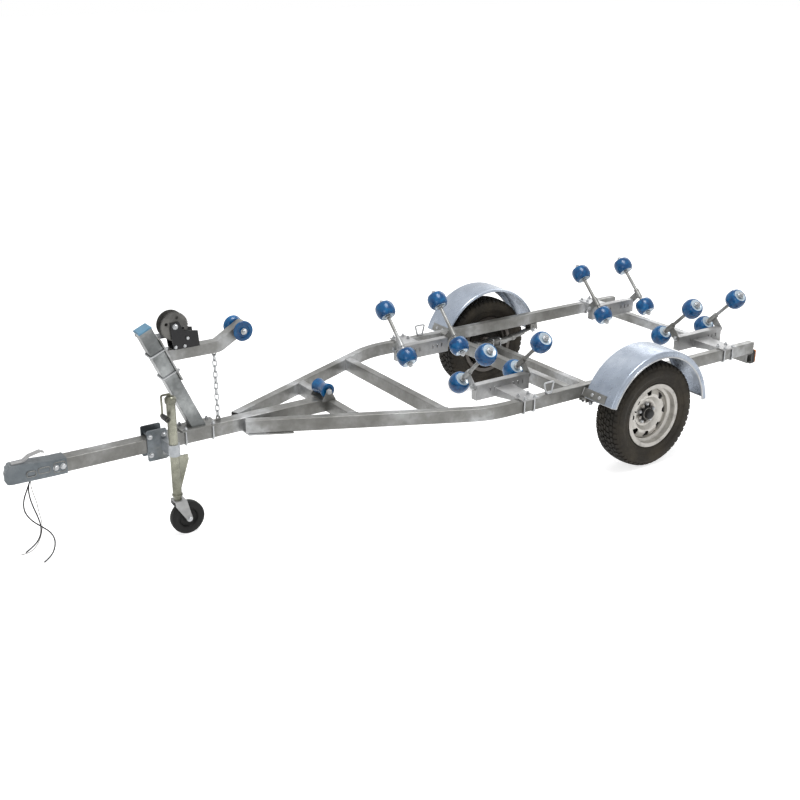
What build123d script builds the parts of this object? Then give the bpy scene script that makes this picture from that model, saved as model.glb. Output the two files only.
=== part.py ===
# Single-axle boat trailer of galvanised steel tube, with four wobble-roller cradles,
# a winch post and a jockey wheel. Millimetres: +X points forward to the coupler,
# +Y to the trailer's left, +Z up, and Z = 0 is the ground it is parked on.
# A distance named "..._ahead" is measured forward from the axle.
import os
from math import atan2, cos, degrees, hypot, radians, sin, tan

from build123d import *

os.makedirs("parts", exist_ok=True)

# ---- Driving sizes ----------------------------------------------------------------
overall_length = 4670
rear_overhang = 1140            # axle to the rear face of the tail lamps
track = 1610                    # between the tyres' middle planes
seat_gap = 0.3                  # left between curved faces that rest on each other

# Frame tubes
frame_top = 525
tube_height = 75
tube_wall = 3
tube_corner = 5
rail_width = 50
rail_half_spread = 646          # trailer's middle to a rail's middle
rail_bend_ahead = 1035          # where the straight runs of a rail's middle line cross
rail_bend_radius = 500
rail_front_ahead = 2255
rail_tail_behind = 1100
drawbar_width = 75
cross_width = 50
keel_cross_ahead = 1715
front_cross_ahead = 1265
middle_cross_ahead = 455
rear_cross_ahead = -1070
rear_cross_height = 60
tie_plate_thickness = 8
tie_plate_length = 220

# Axle, springs and wheels
wheel_radius = 325
tyre_width = 185
tyre_wall = 11
tread_crown = 9                 # how far the tread's middle stands above its edges
bead_radius = 178
rim_flange_radius = 196
rim_width = 152
rim_steel = 4
disc_face = 14                  # bolt face outboard of the tyre's middle plane
drop_centre_radius = 160
vent_count = 8
vent_inner_radius = 112
vent_outer_radius = 146
vent_corner = 6
hub_radius = 46
hub_length = 96
hub_cap_radius = 30
lug_circle_radius = 57.15
lug_count = 5
spindle_radius = 19
bearing_clearance = 0.06
axle_size = 45
spring_width = 45
leaf_thickness = 7
leaf_half_lengths = (330, 250, 170, 95)
spring_rise = 46                # eyes above the middle of the main leaf
eye_radius = 15
eye_pin_radius = 7
hanger_plate = 6

# Mudguards
guard_radius = 402
guard_width = 232
guard_skin = 2.5
guard_lip = 34
guard_edge = 9
guard_front_angle = 20          # above the level through the axle, in degrees
guard_rear_angle = 174
stay_thickness = 6
stay_overlap = 170              # how far a stay reaches under its mudguard

# Coupler
coupler_reach = 230             # from the drawbar's end to the tip of the nose
coupler_lap = 72                # over the drawbar
ball_radius = 25.3
ball_skirt = 14
coupler_nose_radius = 35
coupler_steel = 4
wire_clip_reach = 100           # from the drawbar's end
wire_clip_low = 500
coupler_crown = 16              # nose dome above the drawbar's top
lever_thickness = 5
lever_width = 34

# Jockey stand
jack_ahead = 2705
jack_side = 150
jack_outer_radius = 24
jack_wall = 3
slide_clearance = 0.1
jack_top = 780
jack_outer_bottom = 228
jockey_radius = 92
jockey_width = 48
jockey_trail = 45
fork_steel = 6
fork_side_gap = 6
fork_crown_gap = 13
stem_radius = 14
slider_length = 270
pivot_pin_radius = 6
clamp_bolt_radius = 6
clamp_plate = 8
clamp_height = 170
clamp_width = 110

# Winch post, arm and bow roller
post_foot_ahead = 2512
post_size = 75
post_length = 620
post_lean = 24                  # degrees from upright, towards the coupler
foot_plate_thickness = 10
foot_plate_length = 210
foot_plate_width = 112
foot_bolt_shift = 78
cap_height = 12
arm_size = 60
arm_top = 980
arm_bend_behind = 147           # the post's foot
bow_roller_behind = 125         # the arm's bend
bow_roller_z = 1022
bow_roller_radius = 55
bow_roller_thickness = 34
arm_plate_thickness = 8
arm_plate_above = 110
arm_plate_below = 150
arm_plate_width = 110
post_bolt_shifts = (46, -92)     # along the post from the arm's middle

# Winch
drum_ahead = 2606
drum_z = 1102
drum_flange_thickness = 4
drum_core_radius = 24
winch_steel = 4
gear_teeth = 60
pinion_teeth = 15
gear_module = 2.46
gear_thickness = 6
pinion_direction = 228          # from the drum's shaft, in degrees above straight ahead
frame_half_width = 40
drum_side_gap = 5
crank_length = 190
shaft_radius = 8
grip_radius = 14
grip_length = 95

# Wobble-roller cradles
cradle_ahead = (("front", 780), ("rear", -855))
cradle_side = 410
arm_pair_half_spacing = 200
beam_width = 46
beam_height = 92
beam_bottom = 480
beam_steel = 4
beam_end_wall = 8
pivot_z = 560
pivot_radius = 8
upper_roller_side = 520
upper_roller_z = 785
lower_roller_side = 275
lower_roller_z = 545
roller_radius = 62
roller_end_radius = 43
roller_length = 92
axle_rod_radius = 11
cradle_plate = 8
cradle_plate_length = 120
cradle_bolt_shift = 36
bracket_lip = 17
lug_thickness = 8
lug_half_width = 22
lug_gap = 2
collar_radius = 20
collar_length = 8
roller_end_gap = 1

# Keel roller
keel_roller_ahead = 1735
keel_roller_radius = 43
keel_roller_length = 118
keel_roller_waist = 34
keel_roller_lift = 6           # clear of its bracket's base
bracket_steel = 6
pin_clearance = 0.06

# Rods and chain
rod_radius = 5                  # the U-bolts
chain_wire = 7
chain_link_inner_length = 34
link_slack = 2.3                # along the chain, between two links
chain_link_inner_half_width = 6.5
chain_ahead = 2385
eye_thickness = 6
eye_hole = 6.5
eye_radius_outer = 13
eye_drop = 14
link_seat = 2                   # an end link's gap from its eye

# Tail lamps
lamp_width = 120
lamp_height = 95
lamp_side = 608
lamp_z = 420
lamp_corner = 18
lamp_plate = 5
lamp_housing = 24

# ---- Places worked out from the sizes above ---------------------------------------
axle_x = rear_overhang - overall_length / 2
nose_x = overall_length / 2
drawbar_front_ahead = nose_x - axle_x - coupler_reach
arm_bend_ahead = post_foot_ahead - arm_bend_behind
bow_roller_ahead = arm_bend_ahead - bow_roller_behind
frame_bottom = frame_top - tube_height
bend_angle = degrees(atan2(rail_half_spread - drawbar_width / 2 - rail_width / 2,
                           rail_front_ahead - rail_bend_ahead))
wheel_side = track / 2
rail_mid_z = frame_top - tube_height / 2

# The chain has the largest odd number of links that fits between its two eyes, so that
# both end links lie square to the eyes, and the lower eye is as tall as that leaves.
chain_x = axle_x + chain_ahead
link_pitch = chain_link_inner_length - link_slack
top_eye_z = arm_top - arm_size - eye_drop
top_inner_z = top_eye_z - eye_hole + link_seat
room = top_inner_z - (frame_top + eye_drop + eye_hole)
link_count = 2 * int((room / link_pitch - 1) // 2) + 1
low_inner_z = top_inner_z - link_count * link_pitch - link_slack
low_eye_z = low_inner_z - eye_hole + link_seat


def ahead(distance):
    """X of a place that lies this far in front of the axle."""
    return axle_x + distance


def save(builder, label):
    """Label a finished piece and write it to its own STEP file."""
    builder.part.label = label
    export_step(builder.part, f"parts/{label}.step")


def tube_section(width, height):
    """Cut the section of a rolled tube, with round corners, in the present sketch."""
    RectangleRounded(width, height, tube_corner)
    RectangleRounded(width - 2 * tube_wall, height - 2 * tube_wall, tube_corner - tube_wall,
                     mode=Mode.SUBTRACT)


def leg_side(tube_width):
    """How far a U-bolt's legs stand from the middle of the tube it goes round."""
    return tube_width / 2 + seat_gap + rod_radius


def chain_eye_outline(eye_z, base_z):
    """Draw a flat eye for the safety chain, standing between a level and its hole."""
    with Locations((chain_x, (eye_z + base_z) / 2)):
        Rectangle(2 * eye_radius_outer, abs(base_z - eye_z))
    with Locations((chain_x, eye_z)):
        Circle(eye_radius_outer)
        Circle(eye_hole, mode=Mode.SUBTRACT)


def rail_inner_side(distance):
    """Y of a rail's inner face at a distance ahead of the axle."""
    half = rail_width / 2
    if distance <= rail_bend_ahead:
        return rail_half_spread - half
    slope = tan(radians(bend_angle))
    return rail_half_spread - (distance - rail_bend_ahead) * slope - half / cos(radians(bend_angle))


# ---- Frame ------------------------------------------------------------------------
# The drawbar is a square tube from inside the coupler to the keel-roller crossmember.
drawbar_rear = ahead(keel_cross_ahead + cross_width / 2)
with BuildPart() as drawbar:
    with BuildSketch(Plane.YZ.offset(drawbar_rear)):
        with Locations((0, frame_top - tube_height / 2)):
            tube_section(drawbar_width, tube_height)
    extrude(amount=ahead(drawbar_front_ahead) - drawbar_rear)
    with BuildSketch(Plane.XZ):
        chain_eye_outline(low_eye_z, frame_top - tube_wall / 2)
    extrude(amount=eye_thickness / 2, both=True)
save(drawbar, "drawbar")

# Each rail runs straight beside the wheel and bends in to meet the drawbar.
for side_name, side in (("left", 1), ("right", -1)):
    with BuildPart() as rail:
        with BuildLine() as rail_route:
            FilletPolyline(
                (ahead(-rail_tail_behind), side * rail_half_spread, rail_mid_z),
                (ahead(rail_bend_ahead), side * rail_half_spread, rail_mid_z),
                (ahead(rail_front_ahead),
                 side * (drawbar_width / 2 + seat_gap + rail_width / 2 / cos(radians(bend_angle))),
                 rail_mid_z),
                radius=rail_bend_radius,
            )
        with BuildSketch(Plane(origin=rail_route.line @ 0, x_dir=(0, 1, 0), z_dir=(1, 0, 0))):
            tube_section(rail_width, tube_height)
        sweep()
    save(rail, f"rail_{side_name}")

# The crossmembers butt against the rails, so their ends follow the rails' slant.
with BuildPart() as crossmembers:
    for place in (keel_cross_ahead, front_cross_ahead, middle_cross_ahead):
        with BuildSketch(Plane.XZ):
            with Locations((ahead(place), rail_mid_z)):
                tube_section(cross_width, tube_height)
        extrude(amount=rail_half_spread, both=True)
    slant_front = keel_cross_ahead + cross_width
    slant_rear = front_cross_ahead - cross_width
    straight_front = middle_cross_ahead + cross_width
    inner_front = rail_inner_side(slant_front)
    inner_mid = rail_inner_side(slant_rear)
    inner_rear = rail_inner_side(straight_front)
    with BuildSketch(Plane.XY.offset(frame_bottom)):
        with BuildLine():
            Polyline(
                (ahead(slant_front), inner_front),
                (ahead(slant_rear), inner_mid),
                (ahead(straight_front), inner_rear),
                (axle_x, inner_rear),
                (axle_x, -inner_rear),
                (ahead(straight_front), -inner_rear),
                (ahead(slant_rear), -inner_mid),
                (ahead(slant_front), -inner_front),
                close=True,
            )
        make_face()
    extrude(amount=tube_height, mode=Mode.INTERSECT)
save(crossmembers, "crossmembers")

# The rearmost crossmember is slung under the rails, so that the rear rollers clear it.
rail_outer_side = rail_half_spread + rail_width / 2
lamp_front = ahead(rear_cross_ahead - cross_width / 2) - lamp_plate
with BuildPart() as rear_crossmember:
    with BuildSketch(Plane.XZ):
        with Locations((ahead(rear_cross_ahead), frame_bottom - rear_cross_height / 2)):
            tube_section(cross_width, rear_cross_height)
    extrude(amount=rail_outer_side, both=True)
    with BuildSketch(Plane.YZ.offset(lamp_front)):
        with Locations((lamp_side, frame_bottom - rear_cross_height / 2),
                       (-lamp_side, frame_bottom - rear_cross_height / 2)):
            Rectangle(lamp_width - 16, rear_cross_height)
    extrude(amount=lamp_plate)
save(rear_crossmember, "rear_crossmember")

# A tie plate under the drawbar joins it to the fronts of both rails.
with BuildPart() as tie_plate:
    front_half = drawbar_width / 2 + rail_width + 12
    back_half = front_half + tie_plate_length * tan(radians(bend_angle))
    with BuildSketch(Plane.XY.offset(frame_bottom - tie_plate_thickness)):
        with BuildLine():
            Polyline(
                (ahead(rail_front_ahead), front_half),
                (ahead(rail_front_ahead - tie_plate_length), back_half),
                (ahead(rail_front_ahead - tie_plate_length), -back_half),
                (ahead(rail_front_ahead), -front_half),
                close=True,
            )
        make_face()
    extrude(amount=tie_plate_thickness)
save(tie_plate, "tie_plate")

# ---- Axle and springs -------------------------------------------------------------
spindle_length = hub_length - 14
hub_back = wheel_side - hub_length / 2
with BuildPart() as axle_beam:
    with BuildSketch(Plane.XZ):
        with Locations((axle_x, wheel_radius)):
            Rectangle(axle_size, axle_size)
    extrude(amount=hub_back - 5, both=True)
    with BuildSketch(Plane.XZ):
        with Locations((axle_x, wheel_radius)):
            Circle(spindle_radius)
    extrude(amount=hub_back + spindle_length, both=True)
save(axle_beam, "axle_beam")

# Leaf packs curve down from their eyes and sit on the axle under each rail.
spring_half_span = leaf_half_lengths[0]
main_leaf_radius = (spring_half_span**2 + spring_rise**2) / (2 * spring_rise)
pack_bottom = wheel_radius + axle_size / 2
leaf_centre_z = pack_bottom + main_leaf_radius + leaf_thickness * len(leaf_half_lengths)
eye_turn = degrees(spring_half_span / main_leaf_radius)
eye_path_radius = main_leaf_radius + leaf_thickness - eye_radius
eye_places = [
    (axle_x + end * eye_path_radius * sin(radians(eye_turn)),
     leaf_centre_z - eye_path_radius * cos(radians(eye_turn)))
    for end in (-1, 1)
]
with BuildPart() as leaf_springs:
    for side in (1, -1):
        spring_plane = Plane.XZ.offset(-side * rail_half_spread)
        for level, half_length in enumerate(leaf_half_lengths):
            inner_radius = main_leaf_radius + leaf_thickness * level
            half_turn = degrees(half_length / main_leaf_radius)
            with BuildSketch(spring_plane):
                with BuildLine():
                    upper = CenterArc((axle_x, leaf_centre_z), inner_radius, -90 - half_turn, 2 * half_turn)
                    lower = CenterArc((axle_x, leaf_centre_z), inner_radius + leaf_thickness,
                                      -90 - half_turn, 2 * half_turn)
                    Line(upper @ 0, lower @ 0)
                    Line(upper @ 1, lower @ 1)
                make_face()
            extrude(amount=spring_width / 2, both=True)
        with BuildSketch(spring_plane):
            with Locations(*eye_places):
                Circle(eye_radius)
        extrude(amount=spring_width / 2, both=True)
        with BuildSketch(spring_plane):
            with Locations(*eye_places):
                Circle(eye_pin_radius + pin_clearance)
        extrude(amount=spring_width / 2, both=True, mode=Mode.SUBTRACT)
save(leaf_springs, "leaf_springs")

# Four hangers under the rails hold the spring eyes on their pins.
hanger_inside = spring_width / 2 + 1
hanger_low_z = eye_places[0][1] - eye_radius
with BuildPart() as spring_hangers:
    for side in (1, -1):
        for eye_x, eye_z in eye_places:
            hanger_plane = Plane.XZ.offset(-side * rail_half_spread)
            with BuildSketch(hanger_plane):
                with Locations((eye_x, (frame_bottom + hanger_low_z) / 2)):
                    Rectangle(2 * eye_radius + 24, frame_bottom - hanger_low_z)
            extrude(amount=hanger_inside + hanger_plate, both=True)
            with BuildSketch(hanger_plane):
                with Locations((eye_x, (frame_bottom - hanger_plate + hanger_low_z) / 2)):
                    Rectangle(3 * eye_radius + 24, frame_bottom - hanger_plate - hanger_low_z)
            extrude(amount=hanger_inside, both=True, mode=Mode.SUBTRACT)
            with BuildSketch(hanger_plane):
                with Locations((eye_x, eye_z)):
                    Circle(eye_pin_radius)
            extrude(amount=hanger_inside + hanger_plate + 6, both=True)
save(spring_hangers, "spring_hangers")

# ---- Wheels -----------------------------------------------------------------------
# One wheel is a welded steel rim with its hub, and a hollow tyre seated on it.
tread_edge = tyre_width / 2 - 22
for side_name, side in (("left", 1), ("right", -1)):
    wheel_plane = Plane(origin=(axle_x, side * wheel_side, wheel_radius),
                        x_dir=(0, side, 0), z_dir=(side, 0, 0))
    wheel_axis = Axis((axle_x, side * wheel_side, wheel_radius), (0, side, 0))
    half_rim = rim_width / 2
    with BuildPart() as rim:
        # Barrel: flange, bead seat, drop centre, bead seat, flange.
        with BuildSketch(wheel_plane):
            with BuildLine():
                Polyline(
                    (-half_rim - 6, rim_flange_radius),
                    (-half_rim, rim_flange_radius),
                    (-half_rim, bead_radius - seat_gap),
                    (-half_rim + 30, bead_radius - seat_gap - 2),
                    (-half_rim + 42, drop_centre_radius),
                    (half_rim - 42, drop_centre_radius),
                    (half_rim - 30, bead_radius - seat_gap - 2),
                    (half_rim, bead_radius - seat_gap),
                    (half_rim, rim_flange_radius),
                    (half_rim + 6, rim_flange_radius),
                    (half_rim + 6, bead_radius - rim_steel - 2),
                    (half_rim - 28, bead_radius - rim_steel - 4),
                    (half_rim - 38, drop_centre_radius - rim_steel),
                    (-half_rim + 38, drop_centre_radius - rim_steel),
                    (-half_rim + 28, bead_radius - rim_steel - 4),
                    (-half_rim - 6, bead_radius - rim_steel - 2),
                    close=True,
                )
            make_face()
        revolve(axis=wheel_axis)
        # Disc: flat bolt face, a raised ring outside it and a skirt welded to the barrel.
        with BuildSketch(wheel_plane):
            with BuildLine():
                Polyline(
                    (disc_face, hub_radius - 6),
                    (disc_face, 84),
                    (disc_face + 22, 104),
                    (disc_face + 24, 122),
                    (disc_face + 12, 150),
                    (disc_face + 2, drop_centre_radius - rim_steel / 2),
                    (disc_face - 14, drop_centre_radius - rim_steel / 2),
                    (disc_face - 14, drop_centre_radius - 2 * rim_steel),
                    (disc_face, drop_centre_radius - 2 * rim_steel),
                    (disc_face + 8, 145),
                    (disc_face + 20, 120),
                    (disc_face + 18, 107),
                    (disc_face - rim_steel, 86),
                    (disc_face - rim_steel, hub_radius - 6),
                    close=True,
                )
            make_face()
        revolve(axis=wheel_axis)
        # Vents through the disc near its edge.
        face_plane = Plane(origin=(axle_x, side * (wheel_side + disc_face - 30), wheel_radius),
                           x_dir=(1, 0, 0), z_dir=(0, side, 0))
        with BuildSketch(face_plane) as vents:
            with PolarLocations((vent_inner_radius + vent_outer_radius) / 2, vent_count):
                Trapezoid(56, vent_outer_radius - vent_inner_radius, 62, rotation=90)
            fillet(vents.vertices(), vent_corner)
        extrude(amount=70, mode=Mode.SUBTRACT)
        # Hub, cap and wheel nuts.
        with BuildSketch(wheel_plane):
            with BuildLine():
                Polyline(
                    (-hub_length / 2, spindle_radius + bearing_clearance),
                    (-hub_length / 2, hub_radius),
                    (disc_face - rim_steel, hub_radius),
                    (disc_face - rim_steel, 74),
                    (disc_face, 74),
                    (disc_face, hub_radius - 2),
                    (disc_face + 20, hub_radius - 8),
                    (disc_face + 24, hub_cap_radius),
                    (disc_face + 42, hub_cap_radius - 3),
                    (disc_face + 46, 0),
                    (hub_length / 2 - 12, 0),
                    (hub_length / 2 - 12, spindle_radius + bearing_clearance),
                    close=True,
                )
            make_face()
        revolve(axis=wheel_axis)
        with BuildSketch(Plane(origin=(axle_x, side * (wheel_side + disc_face), wheel_radius),
                               x_dir=(1, 0, 0), z_dir=(0, side, 0))):
            with PolarLocations(lug_circle_radius, lug_count, start_angle=90):
                RegularPolygon(11, 6)
        extrude(amount=16)
    save(rim, f"rim_{side_name}")

    with BuildPart() as tyre:
        half_tyre = tyre_width / 2
        bead_side = half_rim - seat_gap
        wall_mid = (wheel_radius + rim_flange_radius) / 2
        shoulder = wheel_radius - tread_crown
        right_half = (
            # along the axle, radius: out over the wall to the bead, and back inside
            (tread_edge, shoulder),
            (half_tyre - 2, wall_mid + 28),
            (half_tyre, wall_mid),
            (half_tyre - 7, wall_mid - 32),
            (bead_side, rim_flange_radius + 3),
            (bead_side, bead_radius),
            (bead_side - 18, bead_radius),
            (bead_side - tyre_wall, rim_flange_radius + 3),
            (half_tyre - tyre_wall, wall_mid),
            (tread_edge - 6, shoulder - tyre_wall - 4),
        )
        tyre_outline = [(1, along, up) for along, up in right_half]
        tyre_outline += [(-1, along, up) for along, up in reversed(right_half)]
        with BuildSketch(wheel_plane):
            with BuildLine():
                Polyline(
                    (0, wheel_radius),
                    *[(side_step * along, up) for side_step, along, up in tyre_outline],
                    close=True,
                )
            make_face()
        revolve(axis=wheel_axis)
    save(tyre, f"tyre_{side_name}")

# ---- Mudguards --------------------------------------------------------------------
# A rolled skin over each tyre with its outer edge turned down all the way round.
guard_arc = guard_rear_angle - guard_front_angle
for side_name, side in (("left", 1), ("right", -1)):
    inner_y = side * (wheel_side - guard_width / 2)
    outer_y = side * (wheel_side + guard_width / 2)
    start = Plane(origin=(axle_x, 0, wheel_radius), x_dir=(0, 1, 0),
                  z_dir=(sin(radians(guard_front_angle)), 0, -cos(radians(guard_front_angle))))
    with BuildPart() as mudguard:
        with BuildSketch(start):
            with BuildLine():
                Polyline(
                    (inner_y, guard_radius - guard_lip / 2),
                    (inner_y, guard_radius - guard_edge),
                    (inner_y + side * guard_edge, guard_radius),
                    (outer_y - side * guard_edge, guard_radius),
                    (outer_y, guard_radius - guard_edge),
                    (outer_y, guard_radius - guard_lip),
                )
                offset(amount=guard_skin, side=Side.RIGHT if side > 0 else Side.LEFT)
            make_face()
        revolve(axis=Axis((axle_x, 0, wheel_radius), (0, -1, 0)), revolution_arc=guard_arc)
    save(mudguard, f"mudguard_{side_name}")

# Front and rear stays, one flat bar outside each foot of a mudguard, welded to the rail.
guard_inner_side = wheel_side - guard_width / 2
stay_places = (
    # angle round the axle where the bar touches the skin, reach down, reach up
    (guard_front_angle + 4, 25, 25),
    (guard_rear_angle - 6, 25, 85),
)
with BuildPart() as mudguard_stays:
    for side in (1, -1):
        for angle, reach_down, reach_up in stay_places:
            upward = -side if angle < 90 else side
            stay_plane = Plane(
                origin=(axle_x, side * rail_outer_side, wheel_radius),
                x_dir=(cos(radians(angle)), 0, sin(radians(angle))),
                z_dir=(0, side, 0),
            )
            with BuildSketch(stay_plane):
                with Locations((guard_radius + seat_gap + stay_thickness / 2,
                                upward * (reach_up - reach_down) / 2)):
                    Rectangle(stay_thickness, reach_up + reach_down)
            extrude(amount=guard_inner_side + stay_overlap - rail_outer_side)
save(mudguard_stays, "mudguard_stays")

# ---- Coupler ----------------------------------------------------------------------
# A pressed shell over the drawbar's front end, with the ball's socket in its nose.
ball_x = nose_x - coupler_nose_radius
shell_half_width = drawbar_width / 2 + seat_gap + coupler_steel
shell_low = frame_bottom - 4
shell_rear_top = frame_top + seat_gap + coupler_steel
shell_crown_top = frame_top + coupler_crown
socket_low = frame_bottom + 12


def coupler_block(inset):
    """The shell's outline, or its inside when inset by the thickness of the steel."""
    half_width = shell_half_width - inset
    nose = nose_x - inset
    rear = ahead(drawbar_front_ahead - coupler_lap) - inset
    low = shell_low - inset
    with BuildPart() as block:
        with BuildSketch(Plane.XY.offset(low)):
            with BuildLine():
                Polyline(
                    (ball_x, coupler_nose_radius - inset),
                    (ahead(drawbar_front_ahead) + 10, half_width),
                    (rear, half_width),
                    (rear, -half_width),
                    (ahead(drawbar_front_ahead) + 10, -half_width),
                    (ball_x, inset - coupler_nose_radius),
                )
                ThreePointArc((ball_x, inset - coupler_nose_radius), (nose, 0),
                              (ball_x, coupler_nose_radius - inset))
            make_face()
        extrude(amount=shell_crown_top - low)
        with BuildSketch(Plane.XZ):
            with BuildLine():
                Polyline(
                    (rear, low),
                    (rear, shell_rear_top - inset),
                    (ahead(drawbar_front_ahead), shell_rear_top - inset),
                    (ball_x - 60, shell_crown_top - inset),
                    (ball_x + 6, shell_crown_top - inset),
                    (nose, shell_low + 50),
                    (nose, shell_low + 14),
                    (ball_x + ball_radius + 2, low),
                    close=True,
                )
            make_face()
        extrude(amount=shell_half_width, both=True, mode=Mode.INTERSECT)
    return block.part


with BuildPart() as coupler:
    add(coupler_block(0))
    add(coupler_block(coupler_steel), mode=Mode.SUBTRACT)
    # The socket: a skirt that the ball stands in, under a dome of the ball's radius.
    ball_z = socket_low + ball_skirt
    with BuildSketch(Plane.XZ):
        with BuildLine():
            Polyline(
                (ball_x, ball_z + ball_radius),
                (ball_x, shell_crown_top - coupler_steel / 2),
                (ball_x + ball_radius + coupler_steel, shell_crown_top - 2.4 * coupler_steel),
                (ball_x + ball_radius + coupler_steel, socket_low),
                (ball_x + ball_radius, socket_low),
                (ball_x + ball_radius, ball_z),
            )
            RadiusArc((ball_x + ball_radius, ball_z), (ball_x, ball_z + ball_radius), -ball_radius)
        make_face()
    revolve(axis=Axis((ball_x, 0, 0), (0, 0, 1)))
    # A clip under the roof holds the loose wires.
    with BuildSketch(Plane.XY.offset(wire_clip_low)):
        with Locations((ahead(drawbar_front_ahead + wire_clip_reach), -6)):
            Rectangle(34, 62)
    extrude(amount=shell_rear_top + 2 - wire_clip_low)
save(coupler, "coupler")

# The latch lever lies back along the top of the shell.
with BuildPart() as coupler_lever:
    with BuildSketch(Plane.XZ):
        with BuildLine():
            FilletPolyline(
                (ball_x - 5, shell_crown_top),
                (ball_x - 60, shell_crown_top),
                (ball_x - 95, shell_crown_top + 24),
                (ball_x - 150, shell_crown_top + 36),
                (ball_x - 168, shell_crown_top + 28),
                radius=8,
            )
            offset(amount=lever_thickness, side=Side.RIGHT)
        make_face()
    extrude(amount=lever_width / 2, both=True)
save(coupler_lever, "coupler_lever")

# ---- Jockey stand -----------------------------------------------------------------
jack_x = ahead(jack_ahead)
jack_bore = jack_outer_radius - jack_wall
jack_axis = Axis((jack_x, jack_side, 0), (0, 0, 1))
fork_top = 2 * jockey_radius + fork_crown_gap + fork_steel
stem_height = 42
clamp_inside = drawbar_width / 2 + seat_gap
clamp_x = jack_x + clamp_width / 2 - 8
with BuildPart() as jack_clamp:
    for side in (1, -1):
        with BuildSketch(Plane.XZ.offset(-side * (clamp_inside + clamp_plate / 2))):
            with Locations((clamp_x, rail_mid_z)):
                RectangleRounded(clamp_width, clamp_height, 10)
        extrude(amount=clamp_plate / 2, both=True)
    with BuildSketch(Plane.XZ):
        with Locations((clamp_x, rail_mid_z)):
            with GridLocations(clamp_width - 34, tube_height + 26, 2, 2):
                Circle(clamp_bolt_radius)
    extrude(amount=clamp_inside + clamp_plate + 9, both=True)
    with BuildSketch(Plane.XY.offset(frame_bottom + 6)):
        with Locations((jack_x, jack_side)):
            Circle(jack_outer_radius + seat_gap + 7)
        with Locations((jack_x + 10, (clamp_inside + jack_side) / 2)):
            Rectangle(34, jack_side - clamp_inside)
        with Locations((jack_x, jack_side)):
            Circle(jack_outer_radius + seat_gap, mode=Mode.SUBTRACT)
    extrude(amount=tube_height - 12)
save(jack_clamp, "jack_clamp")

# Outer tube with its head, the folded crank and the fin that locks in the clamp.
with BuildPart() as jack_tube:
    with BuildSketch(Plane.XZ.offset(-jack_side)):
        with BuildLine():
            Polyline(
                (jack_x + jack_bore, jack_outer_bottom),
                (jack_x + jack_outer_radius, jack_outer_bottom),
                (jack_x + jack_outer_radius, jack_top - 34),
                (jack_x + jack_outer_radius + 4, jack_top - 30),
                (jack_x + jack_outer_radius + 4, jack_top - 8),
                (jack_x + jack_outer_radius - 6, jack_top),
                (jack_x, jack_top),
                (jack_x, jack_top - 38),
                (jack_x + jack_bore, jack_top - 38),
                close=True,
            )
        make_face()
    revolve(axis=jack_axis)
    with BuildSketch(Plane.XZ.offset(-jack_side)):
        with BuildLine():
            Polyline(
                (jack_x - jack_bore - 1, frame_bottom - 4),
                (jack_x - jack_outer_radius - 48, frame_bottom - 4),
                (jack_x - jack_outer_radius - 52, frame_bottom - 30),
                (jack_x - jack_bore - 1, frame_bottom - 190),
                close=True,
            )
        make_face()
    extrude(amount=4, both=True)
    with BuildLine():
        crank_route = FilletPolyline(
            (jack_x, jack_side, jack_top - 2),
            (jack_x, jack_side, jack_top + 14),
            (jack_x + 48, jack_side, jack_top + 14),
            (jack_x + 48, jack_side, jack_top - 96),
            radius=9,
        )
    with BuildSketch(Plane(origin=crank_route @ 0, z_dir=crank_route % 0)):
        RegularPolygon(6, 8)
    sweep()
    with BuildSketch(Plane(origin=(jack_x + 48, jack_side - 8, jack_top - 96), z_dir=(0, 1, 0))):
        Circle(11)
    extrude(amount=82)
save(jack_tube, "jack_tube")

# Inner tube, bored at its foot for the fork's stem.
with BuildPart() as jack_slider:
    slider_radius = jack_bore - slide_clearance
    with BuildSketch(Plane.XZ.offset(-jack_side)):
        with BuildLine():
            Polyline(
                (jack_x + stem_radius + bearing_clearance, fork_top + seat_gap),
                (jack_x + slider_radius, fork_top + seat_gap),
                (jack_x + slider_radius, fork_top + slider_length),
                (jack_x + slider_radius - jack_wall, fork_top + slider_length),
                (jack_x + slider_radius - jack_wall, fork_top + stem_height + 8),
                (jack_x + stem_radius + bearing_clearance, fork_top + stem_height + 8),
                close=True,
            )
        make_face()
    revolve(axis=jack_axis)
save(jack_slider, "jack_slider")

# The fork swivels on its stem and trails the wheel behind it.
hub_x = jack_x - jockey_trail
cheek_inside = jockey_width / 2 + fork_side_gap
with BuildPart() as jockey_fork:
    with BuildSketch(Plane.XZ.offset(-jack_side)):
        with BuildLine():
            Polyline(
                (hub_x - 17, jockey_radius),
                (jack_x - stem_radius - 22, fork_top),
                (jack_x + stem_radius + 12, fork_top),
                (jack_x + stem_radius + 12, fork_top - 26),
                (hub_x + 17, jockey_radius),
            )
            RadiusArc((hub_x + 17, jockey_radius), (hub_x - 17, jockey_radius), 17)
        make_face()
    extrude(amount=cheek_inside + fork_steel, both=True)
    with BuildSketch(Plane.XZ.offset(-jack_side)):
        with Locations((jack_x, (fork_top - fork_steel) / 2)):
            Rectangle(4 * jockey_radius, fork_top - fork_steel)
    extrude(amount=cheek_inside, both=True, mode=Mode.SUBTRACT)
    with BuildSketch(Plane.XY.offset(fork_top)):
        with Locations((jack_x, jack_side)):
            Circle(stem_radius)
    extrude(amount=stem_height)
    with BuildSketch(Plane.XZ.offset(-jack_side)):
        with Locations((hub_x, jockey_radius)):
            Circle(pivot_pin_radius)
    extrude(amount=cheek_inside + fork_steel + 7, both=True)
save(jockey_fork, "jockey_fork")

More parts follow.
